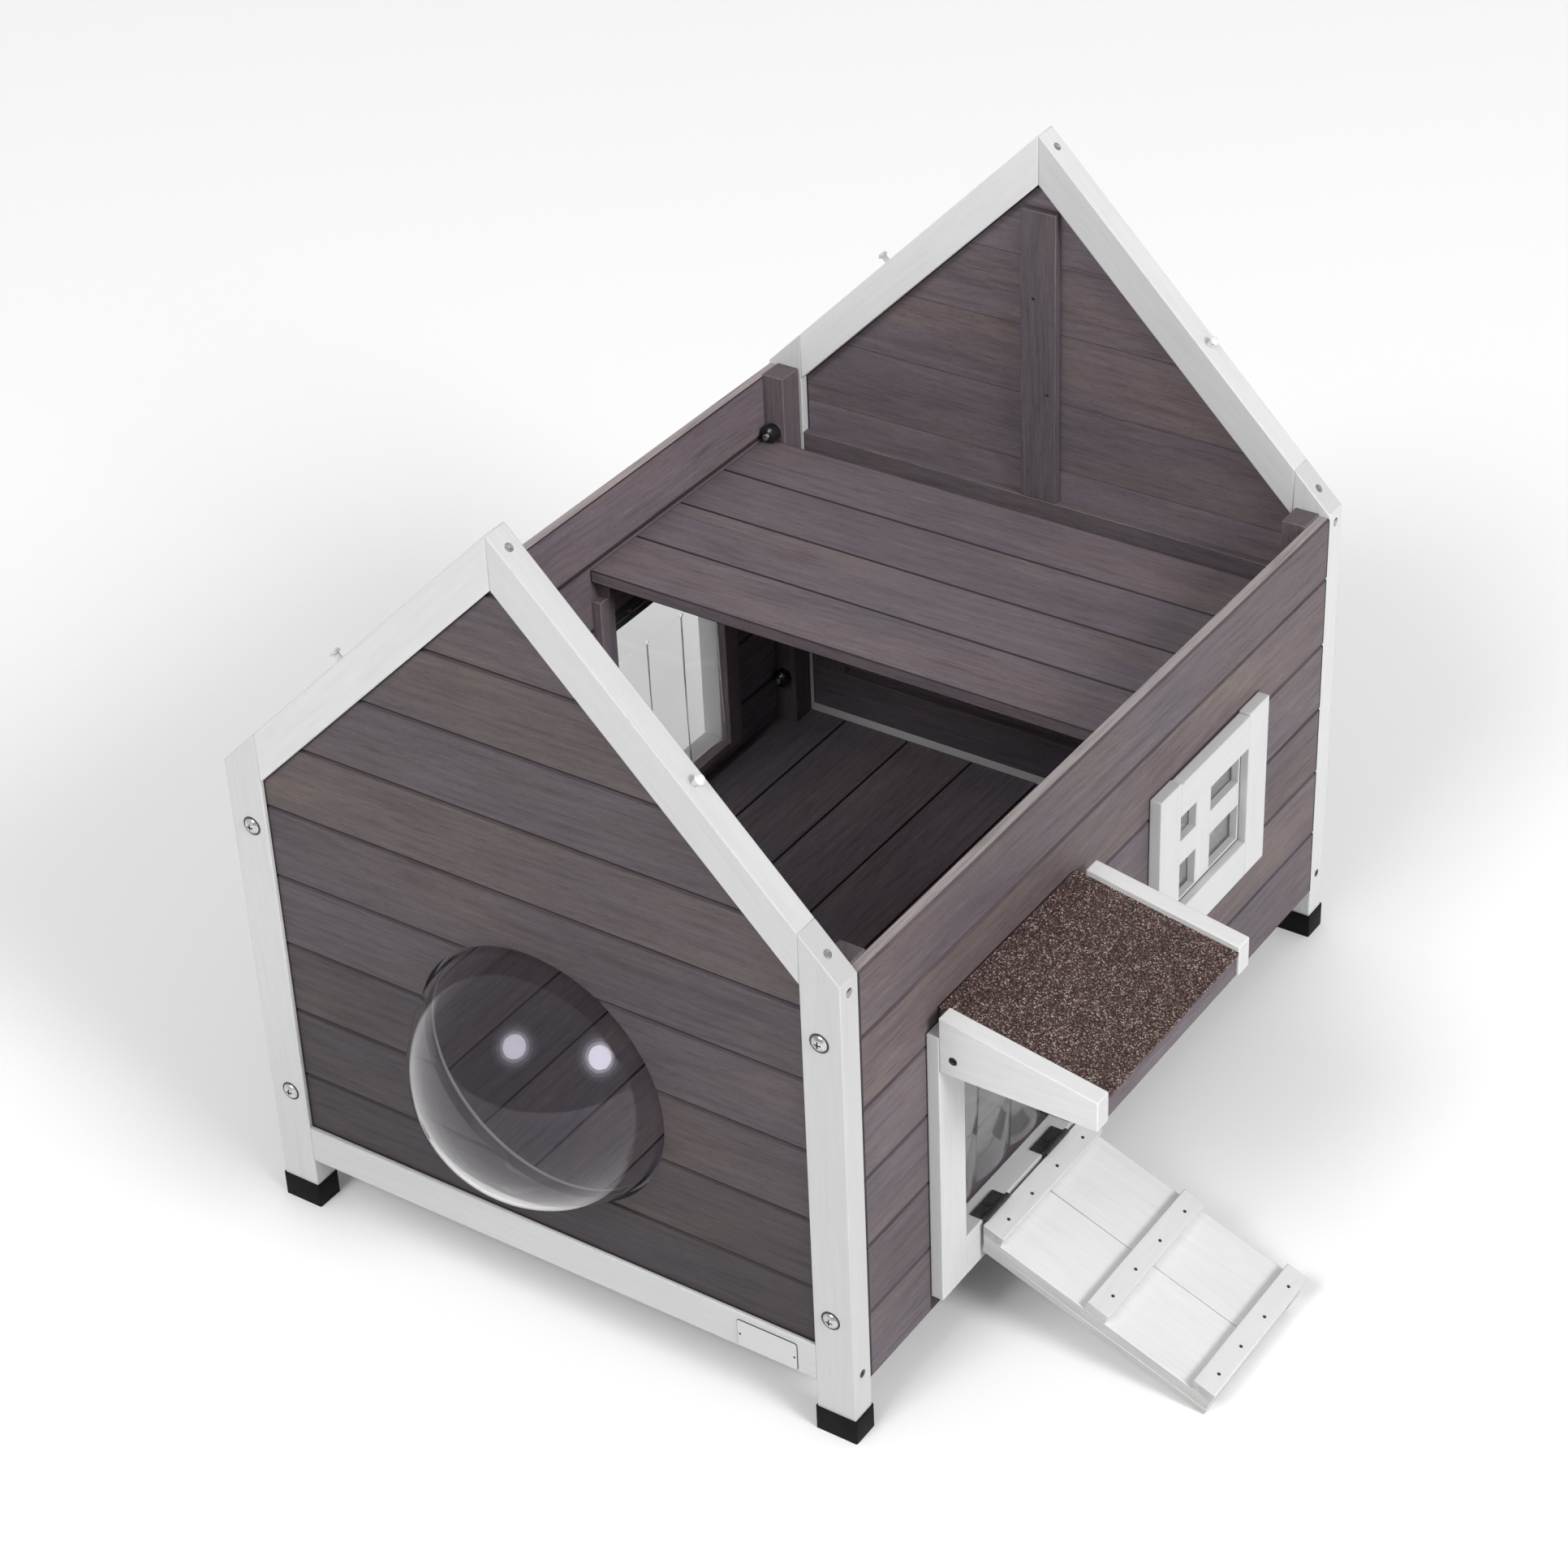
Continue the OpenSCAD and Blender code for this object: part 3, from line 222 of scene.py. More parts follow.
def painted_wood():
    """White paint over the same figure, with scuffs, chipped edges and grey cut ends."""
    material, tree = new_material("white_paint_wood")
    f = wood_figure(tree)
    value = math_node(tree, "MULTIPLY", f["streak"], 0.46)
    value = math_node(tree, "MULTIPLY_ADD", f["fibre"], 0.26, value)
    value = math_node(tree, "MULTIPLY_ADD", f["rings"], -0.06, value)
    value = math_node(tree, "MULTIPLY_ADD", f["broad"], 0.26, value)
    colour = ramp(tree, value, [(0.26, (0.690, 0.690, 0.688)), (0.42, (0.742, 0.743, 0.742)),
                                (0.60, (0.785, 0.786, 0.786))])
    colour = mix_colour(tree, math_node(tree, "MULTIPLY", f["knot"], 0.10), colour, (0.60, 0.57, 0.52))
    speck = noise(tree, f["grain"], 420, 2, 0.7)
    scuff = math_node(tree, "MULTIPLY", span(tree, speck, 0.72, 0.78), span(tree, f["broad"], 0.50, 0.62))
    colour = mix_colour(tree, math_node(tree, "MULTIPLY", scuff, 0.30), colour, (0.46, 0.45, 0.44))
    chip = noise(tree, f["grain"], 110, 4, 0.65)
    chip = math_node(tree, "MULTIPLY", f["worn"], span(tree, chip, 0.60, 0.66))
    colour = mix_colour(tree, math_node(tree, "MULTIPLY", chip, 0.30), colour, (0.46, 0.44, 0.41))
    soaked = math_node(tree, "MULTIPLY_ADD", f["streak"], 1.2, 0.20)
    end = math_node(tree, "MULTIPLY", f["cut"], soaked, clamp=True)
    colour = mix_colour(tree, math_node(tree, "MULTIPLY", end, f["warm"]), colour, (0.36, 0.355, 0.35))
    gain = math_node(tree, "MULTIPLY", f["tone"], math_node(tree, "MULTIPLY_ADD", f["board"], 0.03, 0.985))
    colour = vmath(tree, "SCALE", colour, scale=gain)
    rough = math_node(tree, "MULTIPLY_ADD", f["streak"], 0.18, 0.44)
    height = math_node(tree, "MULTIPLY_ADD", f["rings"], 0.20, f["fibre"])
    height = math_node(tree, "MULTIPLY_ADD", f["streak"], 0.5, height)
    return finished(material, {"Base Color": colour, "Roughness": rough, "Specular IOR Level": 0.42,
                               "Normal": bump(tree, height, 0.16, 0.0005)})


def mineral_felt():
    """Roofing felt: red-brown mineral granules, some of them pale, with dark gaps between."""
    material, tree = new_material("mineral_felt")
    place = object_place(tree)
    grains = node(tree, "TexVoronoi", {"Vector": place, "Scale": 820})
    pick = node(tree, "SeparateXYZ", {"Vector": grains.outputs["Color"]})
    colour = ramp(tree, pick.outputs[0], [(0.0, (0.044, 0.023, 0.021)), (0.30, (0.103, 0.054, 0.047)),
                                          (0.58, (0.180, 0.104, 0.089)), (0.80, (0.330, 0.225, 0.195)),
                                          (0.96, (0.560, 0.480, 0.440))])
    patch = noise(tree, place, 90, 3)
    colour = mix_colour(tree, span(tree, patch, 0.46, 0.66, 0.0, 0.45), colour, (0.050, 0.028, 0.025))
    groove = span(tree, grains.outputs["Distance"], 0.78, 0.28)
    colour = mix_colour(tree, math_node(tree, "SUBTRACT", 1.0, groove), colour, (0.022, 0.014, 0.013))
    rough = math_node(tree, "MULTIPLY_ADD", pick.outputs[1], 0.4, 0.55)
    height = math_node(tree, "MULTIPLY_ADD", pick.outputs[2], 0.5, groove)
    return finished(material, {"Base Color": colour, "Roughness": rough, "Specular IOR Level": 0.35,
                               "Normal": bump(tree, height, 0.8, 0.0007)})


def clear_plastic(name, tint, ior, rough, coat=0.0, coat_rough=0.03, ripple=0.0, clear=1.0):
    """Clear plastic with a trace of haze; clear below 1 stands for its bloom, and ripple bends its shine."""
    material, tree = new_material(name)
    place = object_place(tree)
    haze = noise(tree, place, 9, 3)
    colour = mix_colour(tree, span(tree, haze, 0.35, 0.75), tint, [0.95 * c for c in tint])
    wipe = noise(tree, vmath(tree, "MULTIPLY", place, (1.0, 1.0, 0.3)), 60, 3)
    inputs = {"Base Color": colour, "Transmission Weight": clear, "IOR": ior,
              "Roughness": span(tree, wipe, 0.45, 0.80, rough, rough + 0.03),
              "Coat Weight": coat, "Coat Roughness": coat_rough}
    if ripple:
        wave = noise(tree, vmath(tree, "MULTIPLY", place, (1.0, 1.0, 0.5)), 22, 2)
        inputs["Normal"] = bump(tree, wave, ripple, 0.002)
    return finished(material, inputs)


def slit_edge():
    """The cut sides of the curtain's strips, greyer than their faces."""
    material, tree = new_material("pvc_edge")
    place = object_place(tree)
    cloud = noise(tree, place, 90, 3)
    colour = ramp(tree, cloud, [(0.35, (0.16, 0.165, 0.17)), (0.65, (0.26, 0.265, 0.27))])
    rough = span(tree, cloud, 0.3, 0.7, 0.25, 0.40)
    return finished(material, {"Base Color": colour, "Roughness": rough, "Transmission Weight": 0.35})


def black_plastic(name, rough, specular):
    material, tree = new_material(name)
    place = object_place(tree)
    dust = noise(tree, place, 70, 4, 0.6)
    colour = ramp(tree, dust, [(0.35, (0.005, 0.005, 0.005)), (0.70, (0.011, 0.011, 0.012))])
    pebble = noise(tree, place, 1400, 2)
    return finished(material, {"Base Color": colour, "Specular IOR Level": specular,
                               "Roughness": span(tree, dust, 0.3, 0.7, rough, rough + 0.16),
                               "Normal": bump(tree, pebble, 0.25, 0.0003)})


def black_steel():
    material, tree = new_material("black_steel")
    place = object_place(tree)
    wear = noise(tree, place, 160, 4, 0.65)
    colour = ramp(tree, wear, [(0.30, 0.012), (0.66, (0.030, 0.030, 0.031)), (0.80, 0.16)])
    return finished(material, {"Base Color": colour, "Metallic": span(tree, wear, 0.6, 0.8, 0.0, 0.7),
                               "Roughness": span(tree, wear, 0.3, 0.7, 0.30, 0.48),
                               "Normal": bump(tree, wear, 0.15, 0.0003)})


def bright_metal(name, tarnished, bright):
    material, tree = new_material(name)
    place = object_place(tree)
    tarnish = noise(tree, place, 240, 4, 0.6)
    colour = ramp(tree, tarnish, [(0.32, tarnished), (0.66, bright)])
    scratch = noise(tree, vmath(tree, "MULTIPLY", place, (1.0, 0.15, 1.0)), 1500, 2)
    return finished(material, {"Base Color": colour, "Metallic": 1.0,
                               "Roughness": span(tree, tarnish, 0.3, 0.7, 0.22, 0.42),
                               "Normal": bump(tree, scratch, 0.12, 0.0002)})


def brushed_metal():
    """The bare plate: plain pale metal with a fine brush along x."""
    material, tree = new_material("brushed_plate")
    place = object_place(tree)
    brush = noise(tree, vmath(tree, "MULTIPLY", place, (0.02, 1.0, 1.0)), 2600, 2)
    colour = ramp(tree, brush, [(0.35, 0.640), (0.65, 0.672)])
    return finished(material, {"Base Color": colour, "Metallic": 1.0,
                               "Roughness": span(tree, brush, 0.3, 0.7, 0.40, 0.46),
                               "Normal": bump(tree, brush, 0.04, 0.0001)})


def white_nylon():
    material, tree = new_material("white_nylon")
    place = object_place(tree)
    cloud = noise(tree, place, 300, 3)
    colour = ramp(tree, cloud, [(0.35, (0.66, 0.66, 0.65)), (0.65, (0.74, 0.74, 0.73))])
    return finished(material, {"Base Color": colour, "Roughness": span(tree, cloud, 0.3, 0.7, 0.30, 0.42),
                               "Normal": bump(tree, cloud, 0.1, 0.0003)})


WOOD = stained_wood()
PAINT = painted_wood()
FELT = mineral_felt()
ACRYLIC = clear_plastic("clear_acrylic", (0.985, 0.982, 0.992), 1.33, 0.0)
finished(ACRYLIC, {"Specular Tint": (0.90, 0.86, 1.0, 1.0)})
# Painted highlight: the rim's milky share catches the light as a bright line round the bubble's foot
ACRYLIC_RIM_HIGHLIGHT = clear_plastic("acrylic_rim_highlight", (0.98, 0.97, 1.0), 1.33, 0.04, clear=0.62)
# Painted reflection: the sheet's milky share lightens it where a reflection would
GLAZING = clear_plastic("clear_sheet", (0.97, 0.98, 0.985), 1.50, 0.01, ripple=0.05, clear=0.86)
PVC = clear_plastic("clear_pvc", (0.985, 0.988, 0.990), 1.10, 0.02, coat=0.9, coat_rough=0.06, ripple=0.25,
                    clear=0.94)
PVC_EDGE = slit_edge()
PLASTIC = black_plastic("black_plastic", 0.50, 0.08)
KNOB = black_plastic("knob_plastic", 0.16, 0.60)
STEEL = black_steel()
ZINC = bright_metal("zinc_steel", (0.42, 0.42, 0.43), (0.70, 0.70, 0.70))
BRASS = bright_metal("brass_screw", (0.44, 0.33, 0.17), (0.66, 0.53, 0.30))
CHROME = bright_metal("bright_zinc", (0.44, 0.44, 0.45), (0.70, 0.70, 0.70))
PLATE = brushed_metal()
NYLON = white_nylon()


# Boards from the CAD solids
ALONG_X = Vector((1, 0, 0))
ALONG_Y = Vector((0, 1, 0))
ALONG_Z = Vector((0, 0, 1))
UP_RIGHT = Vector((1, 0, 1)).normalized()
UP_LEFT = Vector((-1, 0, 1)).normalized()
DOWN_RAMP = Vector((math.cos(RAMP_SLOPE), 0, -math.sin(RAMP_SLOPE)))

# Cosines between a face's normal and an axis: square to it, an end cut, a chamfer
SQUARE, END_CUT, CHAMFER = 0.9, 0.6, 0.25
# How dark a joint is painted, 0 to 1, as dirt and painted shade: its chamfer, its flank, beside it, and a
# chamfer that the light reaches
DARK_CHAMFER, DARK_FLANK, DARK_BESIDE, LIT_CHAMFER = 0.95, 0.85, 0.80, 0.35
SAME_PLANE = 1e-4
SHORT_EDGE = 0.009


def stand_in(name, bm, materials, sharp=None):
    """A node's own new look: it rides the node's body, replaces the node and carries the slot."""
    mesh = bpy.data.meshes.new(name + "_look")
    bm.to_mesh(mesh)
    bm.free()
    if sharp:
        mesh.set_sharp_from_angle(angle=math.radians(sharp))
    for material in materials:
        mesh.materials.append(material)
    piece = bpy.data.objects.new(name + "_look", mesh)
    bpy.context.scene.collection.objects.link(piece)
    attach(piece, BODY_OF[name])
    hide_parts(name)


def slice_at(bm, co, no):
    """Cuts the faces that a plane crosses, without taking anything away."""
    bmesh.ops.bisect_plane(bm, geom=bm.verts[:] + bm.edges[:] + bm.faces[:], plane_co=co, plane_no=no)


def bevel(bm, edges, width, profile=0.5):
    """Rounds edges, and returns the new narrow faces."""
    return bmesh.ops.bevel(bm, geom=edges, offset=width, segments=2, profile=profile, affect="EDGES",
                           clamp_overlap=True)["faces"]


def ring(bm, x, y, z, radius, turns):
    """Vertices in a circle about an axis along y."""
    angles = [2 * math.pi * j / turns for j in range(turns)]
    return [bm.verts.new((x + radius * math.cos(a), y, z + radius * math.sin(a))) for a in angles]


def islands(bm):
    """The separate solids of a mesh, as lists of faces."""
    seen = set()
    found = []
    for first in bm.faces:
        if first in seen:
            continue
        seen.add(first)
        stack = [first]
        group = []
        while stack:
            face = stack.pop()
            group.append(face)
            for edge in face.edges:
                for other in edge.link_faces:
                    if other not in seen:
                        seen.add(other)
                        stack.append(other)
        found.append(group)
    return found


def axes_of(points, along):
    """The board's axes: through its thickness, across its width, and along its grain."""
    low = Vector((min(p[i] for p in points) for i in range(3)))
    high = Vector((max(p[i] for p in points) for i in range(3)))
    size = high - low
    if along is None:
        longest = max(range(3), key=lambda i: size[i])
        along = (ALONG_X, ALONG_Y, ALONG_Z)[longest]
    side = ALONG_Y if abs(along.dot(ALONG_Y)) < SQUARE else ALONG_X
    other = along.cross(side).normalized()
    side = other.cross(along).normalized()

    def extent(axis):
        values = [p.dot(axis) for p in points]
        return max(values) - min(values)

    if extent(side) > extent(other):
        side, other = other, side
    return side, other, along, (low + high) / 2


def clean(bm):
    """Joins doubled vertices and the flat triangles of each face."""
    bmesh.ops.remove_doubles(bm, verts=bm.verts, dist=1e-6)
    bmesh.ops.dissolve_limit(bm, angle_limit=math.radians(0.4), verts=bm.verts, edges=bm.edges)


def round_edges(bm, width, worn):
    """Rounds the long sharp outer edges, and marks the new narrow faces as worn."""
    edges = []
    for edge in bm.edges:
        if len(edge.link_faces) != 2 or edge.calc_length() < SHORT_EDGE:
            continue
        if edge.is_convex and edge.calc_face_angle() > math.radians(40):
            edges.append(edge)
    if not edges:
        return
    for face in bevel(bm, edges, width, 0.6):
        face[worn] = 1.0
        face.smooth = True


def outermost(face, low, high):
    """Whether a face lies on the outside of its node's box, where no neighbour hides it."""
    middle = face.calc_center_median()
    return any(abs(face.normal[i]) > SQUARE
               and min(abs(middle[i] - low[i]), abs(middle[i] - high[i])) < SAME_PLANE for i in range(3))


def joint_bands(bm, along):
    """Cuts the faces just beside each joint's chamfer, and returns the bands of height in its shade."""
    under, over = 0.0006, 0.0003
    bands = set()
    through = 1 if along == ALONG_X else 0
    for face in bm.faces:
        if CHAMFER < abs(face.normal.z) < 0.95 and abs(face.normal[through]) > CHAMFER:
            reach = under if face.normal.z < 0 else over
            heights = [v.co.z for v in face.verts]
            bands.add((round(min(heights) - reach, 5), round(max(heights) + reach, 5)))
    for z in sorted({z for band in bands for z in band}):
        slice_at(bm, (0, 0, z), ALONG_Z)
    return bands


def dress(name, material, along=None, width=0.0008, tone=1.0, warm=0.0, joints=False, pale=0.0,
          gaps=None, rough_edge=False):
    """A node of boards with rounded edges and the attributes that its wood material reads.

    along: direction of the grain, or None for each board's longest side.
    tone: brightness, set node by node and partly painted light and shade, or a function of height that paints
    shade. warm: how brown the boards may get.
    joints: "under" or "both" chamfers of the tongued joints are dark, with dirt and painted shade.
    pale: how bare the topmost edge is. rough_edge: the side that faces the front looks freshly cut.
    gaps: cuts, and the test of the faces beyond them, that draw a painted shadow line along the frame."""
    bm = bmesh.new()
    bm.from_mesh(NODES[name].data)
    clean(bm)
    for face in bm.faces:
        face.smooth = False
    worn = bm.faces.layers.float.new("worn")
    cut = bm.faces.layers.float.new("cut")
    joint = bm.faces.layers.float.new("joint")
    bare = bm.faces.layers.float.new("pale")
    if width:
        round_edges(bm, width, worn)
    bands = joint_bands(bm, along) if joints == "under" else ()
    for co, no in gaps[0] if gaps else ():
        slice_at(bm, DATUM + Vector(co), no)
    grain = bm.verts.layers.float_vector.new("grain")
    seed = bm.verts.layers.float_vector.new("seed")
    low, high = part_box(name)
    rng = random.Random(sum(ord(c) * (i + 1) for i, c in enumerate(name)))
    for group in islands(bm):
        verts = list({v for face in group for v in face.verts})
        thick, wide, long_, centre = axes_of([v.co for v in verts], along)
        shift = Vector((rng.uniform(0.03, 0.11) * rng.choice((-1, 1)), rng.uniform(-0.05, 0.05),
                        rng.uniform(-9, 9)))
        lean = Vector((rng.uniform(-0.03, 0.03), rng.uniform(-0.02, 0.02)))
        board = rng.random()
        board_warm = warm * rng.uniform(0.2 if material is WOOD else 0.6, 1.0)
        board_tone = tone(centre.z) if callable(tone) else tone
        for v in verts:
            rel = v.co - centre
            z = rel.dot(long_)
            v[grain] = Vector((rel.dot(thick) + lean.x * z, rel.dot(wide) + lean.y * z, z)) + shift
            v[seed] = Vector((board, board_tone, board_warm))
        for face in group:
            across = abs(face.normal.dot(wide))
            if abs(face.normal.dot(long_)) > END_CUT and not face[worn]:
                face[cut] = 1.0
            # Dirt and painted shade on the joints' flanks and chamfers; a chamfer facing down gets more shade
            # than one the light reaches
            elif joints and across > SQUARE:
                face[joint] = 0.0 if outermost(face, low, high) else DARK_FLANK
            elif joints and across > CHAMFER and abs(face.normal.dot(thick)) > CHAMFER:
                face[worn] = 0.0
                face[joint] = DARK_CHAMFER if joints == "both" or face.normal.z < 0 else LIT_CHAMFER
            middle = face.calc_center_median()
            # Painted shade on the faces just beside a joint's chamfer
            if across < 0.1 and any(z0 < middle.z < z1 for z0, z1 in bands):
                face[joint] = DARK_BESIDE
            if rough_edge and face.normal.y < -SQUARE:
                face[cut] = 1.0
            # Painted shadow line along the frame
            if gaps and gaps[1](middle - DATUM, face.normal):
                face[joint] = DARK_FLANK
            if pale and face.normal.z > SQUARE and high.z - middle.z < SAME_PLANE:
                face[bare] = pale
                face[joint] = 0.0
    stand_in(name, bm, (material,))


# White frame: name, grain direction, tone of the paint. Here and in the white parts below, the tones are set
# part by part to how bright each part looks in its light, so they hold painted light and shade
for name, direction, tone in (
        ("front_post_left", ALONG_Z, 0.74), ("front_post_right", ALONG_Z, 0.70),
        ("back_post_left", ALONG_Z, 0.81), ("back_post_right", ALONG_Z, 0.81),
        ("front_rafter_left", UP_RIGHT, 0.81), ("front_rafter_right", UP_LEFT, 0.73),
        ("back_rafter_left", UP_RIGHT, 1.03), ("back_rafter_right", UP_LEFT, 0.83),
        ("front_bottom_rail", ALONG_X, 0.72), ("back_bottom_rail", ALONG_X, 0.80)):
    dress(name, PAINT, direction, width=0.0010, warm=0.35, tone=tone)
for name in ("right_door_stiles", "left_door_stiles", "window_stiles", "window_lattice"):
    dress(name, PAINT, ALONG_Z, width=0.0009, warm=0.3, tone=0.78)
for name in ("right_door_sill", "left_door_sill", "right_door_header", "left_door_header", "window_rails"):
    dress(name, PAINT, ALONG_Y, width=0.0009, warm=0.3, tone=0.78)
dress("canopy_brackets", PAINT, ALONG_X, width=0.0010, warm=0.4, tone=0.88)
for name, direction, tone in (("ramp_boards", DOWN_RAMP, 0.92), ("ramp_rails", DOWN_RAMP, 0.80),
                              ("ramp_cleats", ALONG_Y, 0.84)):
    dress(name, PAINT, direction, width=0.0008, warm=1.0, tone=tone, rough_edge=True)

# The painted shadow line where planks meet their frame: its width, also at the ends of the side walls, and where
# it ends on the gables, beside the posts, over the rail and under the rafters, the last as a height over the
# middle
GAP, END_GAP = 0.0013, 0.0022
POST_EDGE, RAIL_EDGE, RAFTER_EDGE = 0.250 - GAP, 0.085 + GAP, 0.6807 - 1.4 * GAP
GABLE_CUTS = [((POST_EDGE, 0, 0), ALONG_X), ((-POST_EDGE, 0, 0), ALONG_X), ((0, 0, RAIL_EDGE), ALONG_Z),
              ((0, 0, RAFTER_EDGE), UP_RIGHT), ((0, 0, RAFTER_EDGE), UP_LEFT)]
# Frames on the side walls: low y, high y, low z, high z
RIGHT_DOOR, LEFT_DOOR = (0.111, 0.345, 0.0, 0.326), (0.442, 0.676, 0.0, 0.326)
WINDOW = (0.451, 0.637, 0.169, 0.334)


def gable_gap_shade(p, normal):
    """Whether a face of the gable's planks lies in the painted shadow line."""
    return abs(normal.y) > 0.5 and (abs(p.x) > POST_EDGE or p.z < RAIL_EDGE or abs(p.x) + p.z > RAFTER_EDGE)


def wall_gap_shades(*frames):
    """The cuts and the test of a side wall's painted shadow lines, at its two ends and round the frames on it.
    """
    ends = (GABLE_THICK + END_GAP, DEPTH - GABLE_THICK - END_GAP)
    cuts = [((0, y, 0), ALONG_Y) for y in ends]
    for y0, y1, z0, z1 in frames:
        cuts += [((0, y, 0), ALONG_Y) for y in (y0 - GAP, y1 + GAP)]
        cuts += [((0, 0, z), ALONG_Z) for z in (z0 - GAP, z1 + GAP)]

    def test(p, normal):
        if normal.x * p.x < 0.5 * abs(p.x):
            return False
        return not ends[0] < p.y < ends[1] or any(y0 - GAP < p.y < y1 + GAP and z0 - GAP < p.z < z1 + GAP
                                                  for y0, y1, z0, z1 in frames)

    return cuts, test


def window_plank_shade_tone(z):
    """Painted shade: planks round the bubble get darker towards the ground."""
    return 0.29 + 0.28 * min(1.0, max(0.0, (z - 0.11) / 0.22))


# The tones of the stained planks and battens are set node by node to how bright each looks in its light: painted
# light and shade over the stain's own tone
dress("front_planks", WOOD, ALONG_X, width=0.0, tone=0.58, warm=0.9, joints="under",
      gaps=(GABLE_CUTS, gable_gap_shade))
dress("front_window_planks", WOOD, ALONG_X, width=0.0, tone=window_plank_shade_tone, warm=0.7,
      joints="under", gaps=(GABLE_CUTS, gable_gap_shade))
dress("back_planks", WOOD, ALONG_X, width=0.0, tone=1.06, warm=0.35, joints="both",
      gaps=(GABLE_CUTS, gable_gap_shade))
dress("right_wall_planks", WOOD, ALONG_Y, width=0.0, tone=0.78, warm=0.95, joints="under",
      pale=0.60, gaps=wall_gap_shades(RIGHT_DOOR, WINDOW))
dress("left_wall_planks", WOOD, ALONG_Y, width=0.0, tone=1.26, warm=0.7, joints="under",
      pale=0.5, gaps=wall_gap_shades(LEFT_DOOR))
dress("deck_planks", WOOD, ALONG_X, width=0.0010, tone=1.00, warm=0.25, joints="both")
dress("floor_planks", WOOD, ALONG_Y, width=0.0009, tone=1.02, warm=0.15, joints="both")
for name in ("front_gable_battens", "back_gable_battens", "corner_posts", "right_wall_battens",
             "canopy_board", "canopy_battens", "deck_supports", "floor_bearers"):
    dress(name, WOOD, None, tone=0.85, warm=0.2)
dress("left_wall_battens", WOOD, None, tone=1.25, warm=0.2)


# Small parts from the CAD solids
def soften(name, material_of, width, face_material=None):
    """A node of small parts with its sharp outer edges rounded.

    material_of(part's centre) picks each part's material.
    face_material(part's centre, face's centre) may give a face another one."""
    bm = bmesh.new()
    bm.from_mesh(NODES[name].data)
    clean(bm)
    if width:
        bevel(bm, [e for e in bm.edges if len(e.link_faces) == 2 and e.is_convex
                   and e.calc_face_angle() > math.radians(35)], width)
    materials = []
    for group in islands(bm):
        points = [v.co for face in group for v in face.verts]
        centre = sum(points, Vector()) / len(points)
        material = material_of(centre)
        if material not in materials:
            materials.append(material)
        for face in group:
            own = face_material(centre, face.calc_center_median()) if face_material else None
            if own and own not in materials:
                materials.append(own)
            face.material_index = materials.index(own or material)
            face.smooth = True
    stand_in(name, bm, materials, sharp=40)


# The panel bolts: how far from the middle, their two heights and half the width of the recess in their heads
BOLT_X, BOLT_LOW, BOLT_HIGH, RECESS = 0.2655, 0.118, 0.3845, 0.0034


def screw_material(centre):
    """Brass on the curtain screws, dark steel on the hinge screws, zinc on the rest."""
    along = centre - DATUM
    curtain_height, hinge_top, inner_wall, sill_face = 0.308, 0.115, 0.25, 0.27
    if abs(along.z - curtain_height) < 0.006 and abs(along.x) > inner_wall:
        return BRASS
    return STEEL if along.z < hinge_top and along.x > sill_face else ZINC


def frame_screw_material(centre):
    """Bright zinc on the screws in the frames' tops, duller zinc on the rest."""
    rafter_foot = 0.44
    return CHROME if centre.z > rafter_foot else ZINC


def side_head(part, face):
    """Dark steel on the heads of the frame screws that come out through the house's sides."""
    return STEEL if abs(face.x - DATUM.x) > 0.2815 else None


def bolt_recess_shade(part, face):
    """Dark steel in the cross recess of a panel bolt's head, which is 3.5 mm high on a 10 mm sphere: painted
    shade in the recess.
    """
    part, face = part - DATUM, face - DATUM
    height = -face.y if part.y < DEPTH / 2 else face.y - DEPTH
    bolt_z = BOLT_LOW if part.z < (BOLT_LOW + BOLT_HIGH) / 2 else BOLT_HIGH
    off = math.hypot(face.x - math.copysign(BOLT_X, part.x), face.z - bolt_z)
    dome = math.sqrt(max(0.0, 0.010 ** 2 - off ** 2)) - 0.0065
    return STEEL if off < RECESS and 0.0 < height < dome - 0.0002 else None


for material_slot in NODES["window_glazing"].material_slots:
    material_slot.material = GLAZING
soften("foot_caps", lambda c: PLASTIC, 0.0007)
soften("knob_nuts", lambda c: KNOB, 0.0006)
soften("hinge_sill_leaves", lambda c: STEEL, 0.00025)
soften("hinge_ramp_leaves", lambda c: STEEL, 0.00025)
soften("panel_bolts", lambda c: CHROME, 0.0002, face_material=bolt_recess_shade)
soften("frame_screws", frame_screw_material, 0.0, face_material=side_head)
soften("small_screws", screw_material, 0.0002)
soften("ramp_nails", lambda c: STEEL, 0.0)
soften("roof_pegs", lambda c: NYLON, 0.0004)


# Bare plate, nail heads, and the painted shade of dark rings round the bolt heads and a black strip in the
# window's gap
def piece_of(bm, name, materials, body):
    """A new piece made in the house's own coordinates."""
    bmesh.ops.translate(bm, verts=bm.verts, vec=DATUM)
    mesh = bpy.data.meshes.new(name)
    bm.to_mesh(mesh)
    bm.free()
    for material in materials:
        mesh.materials.append(material)
    piece = bpy.data.objects.new(name, mesh)
    bpy.context.scene.collection.objects.link(piece)
    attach(piece, body)


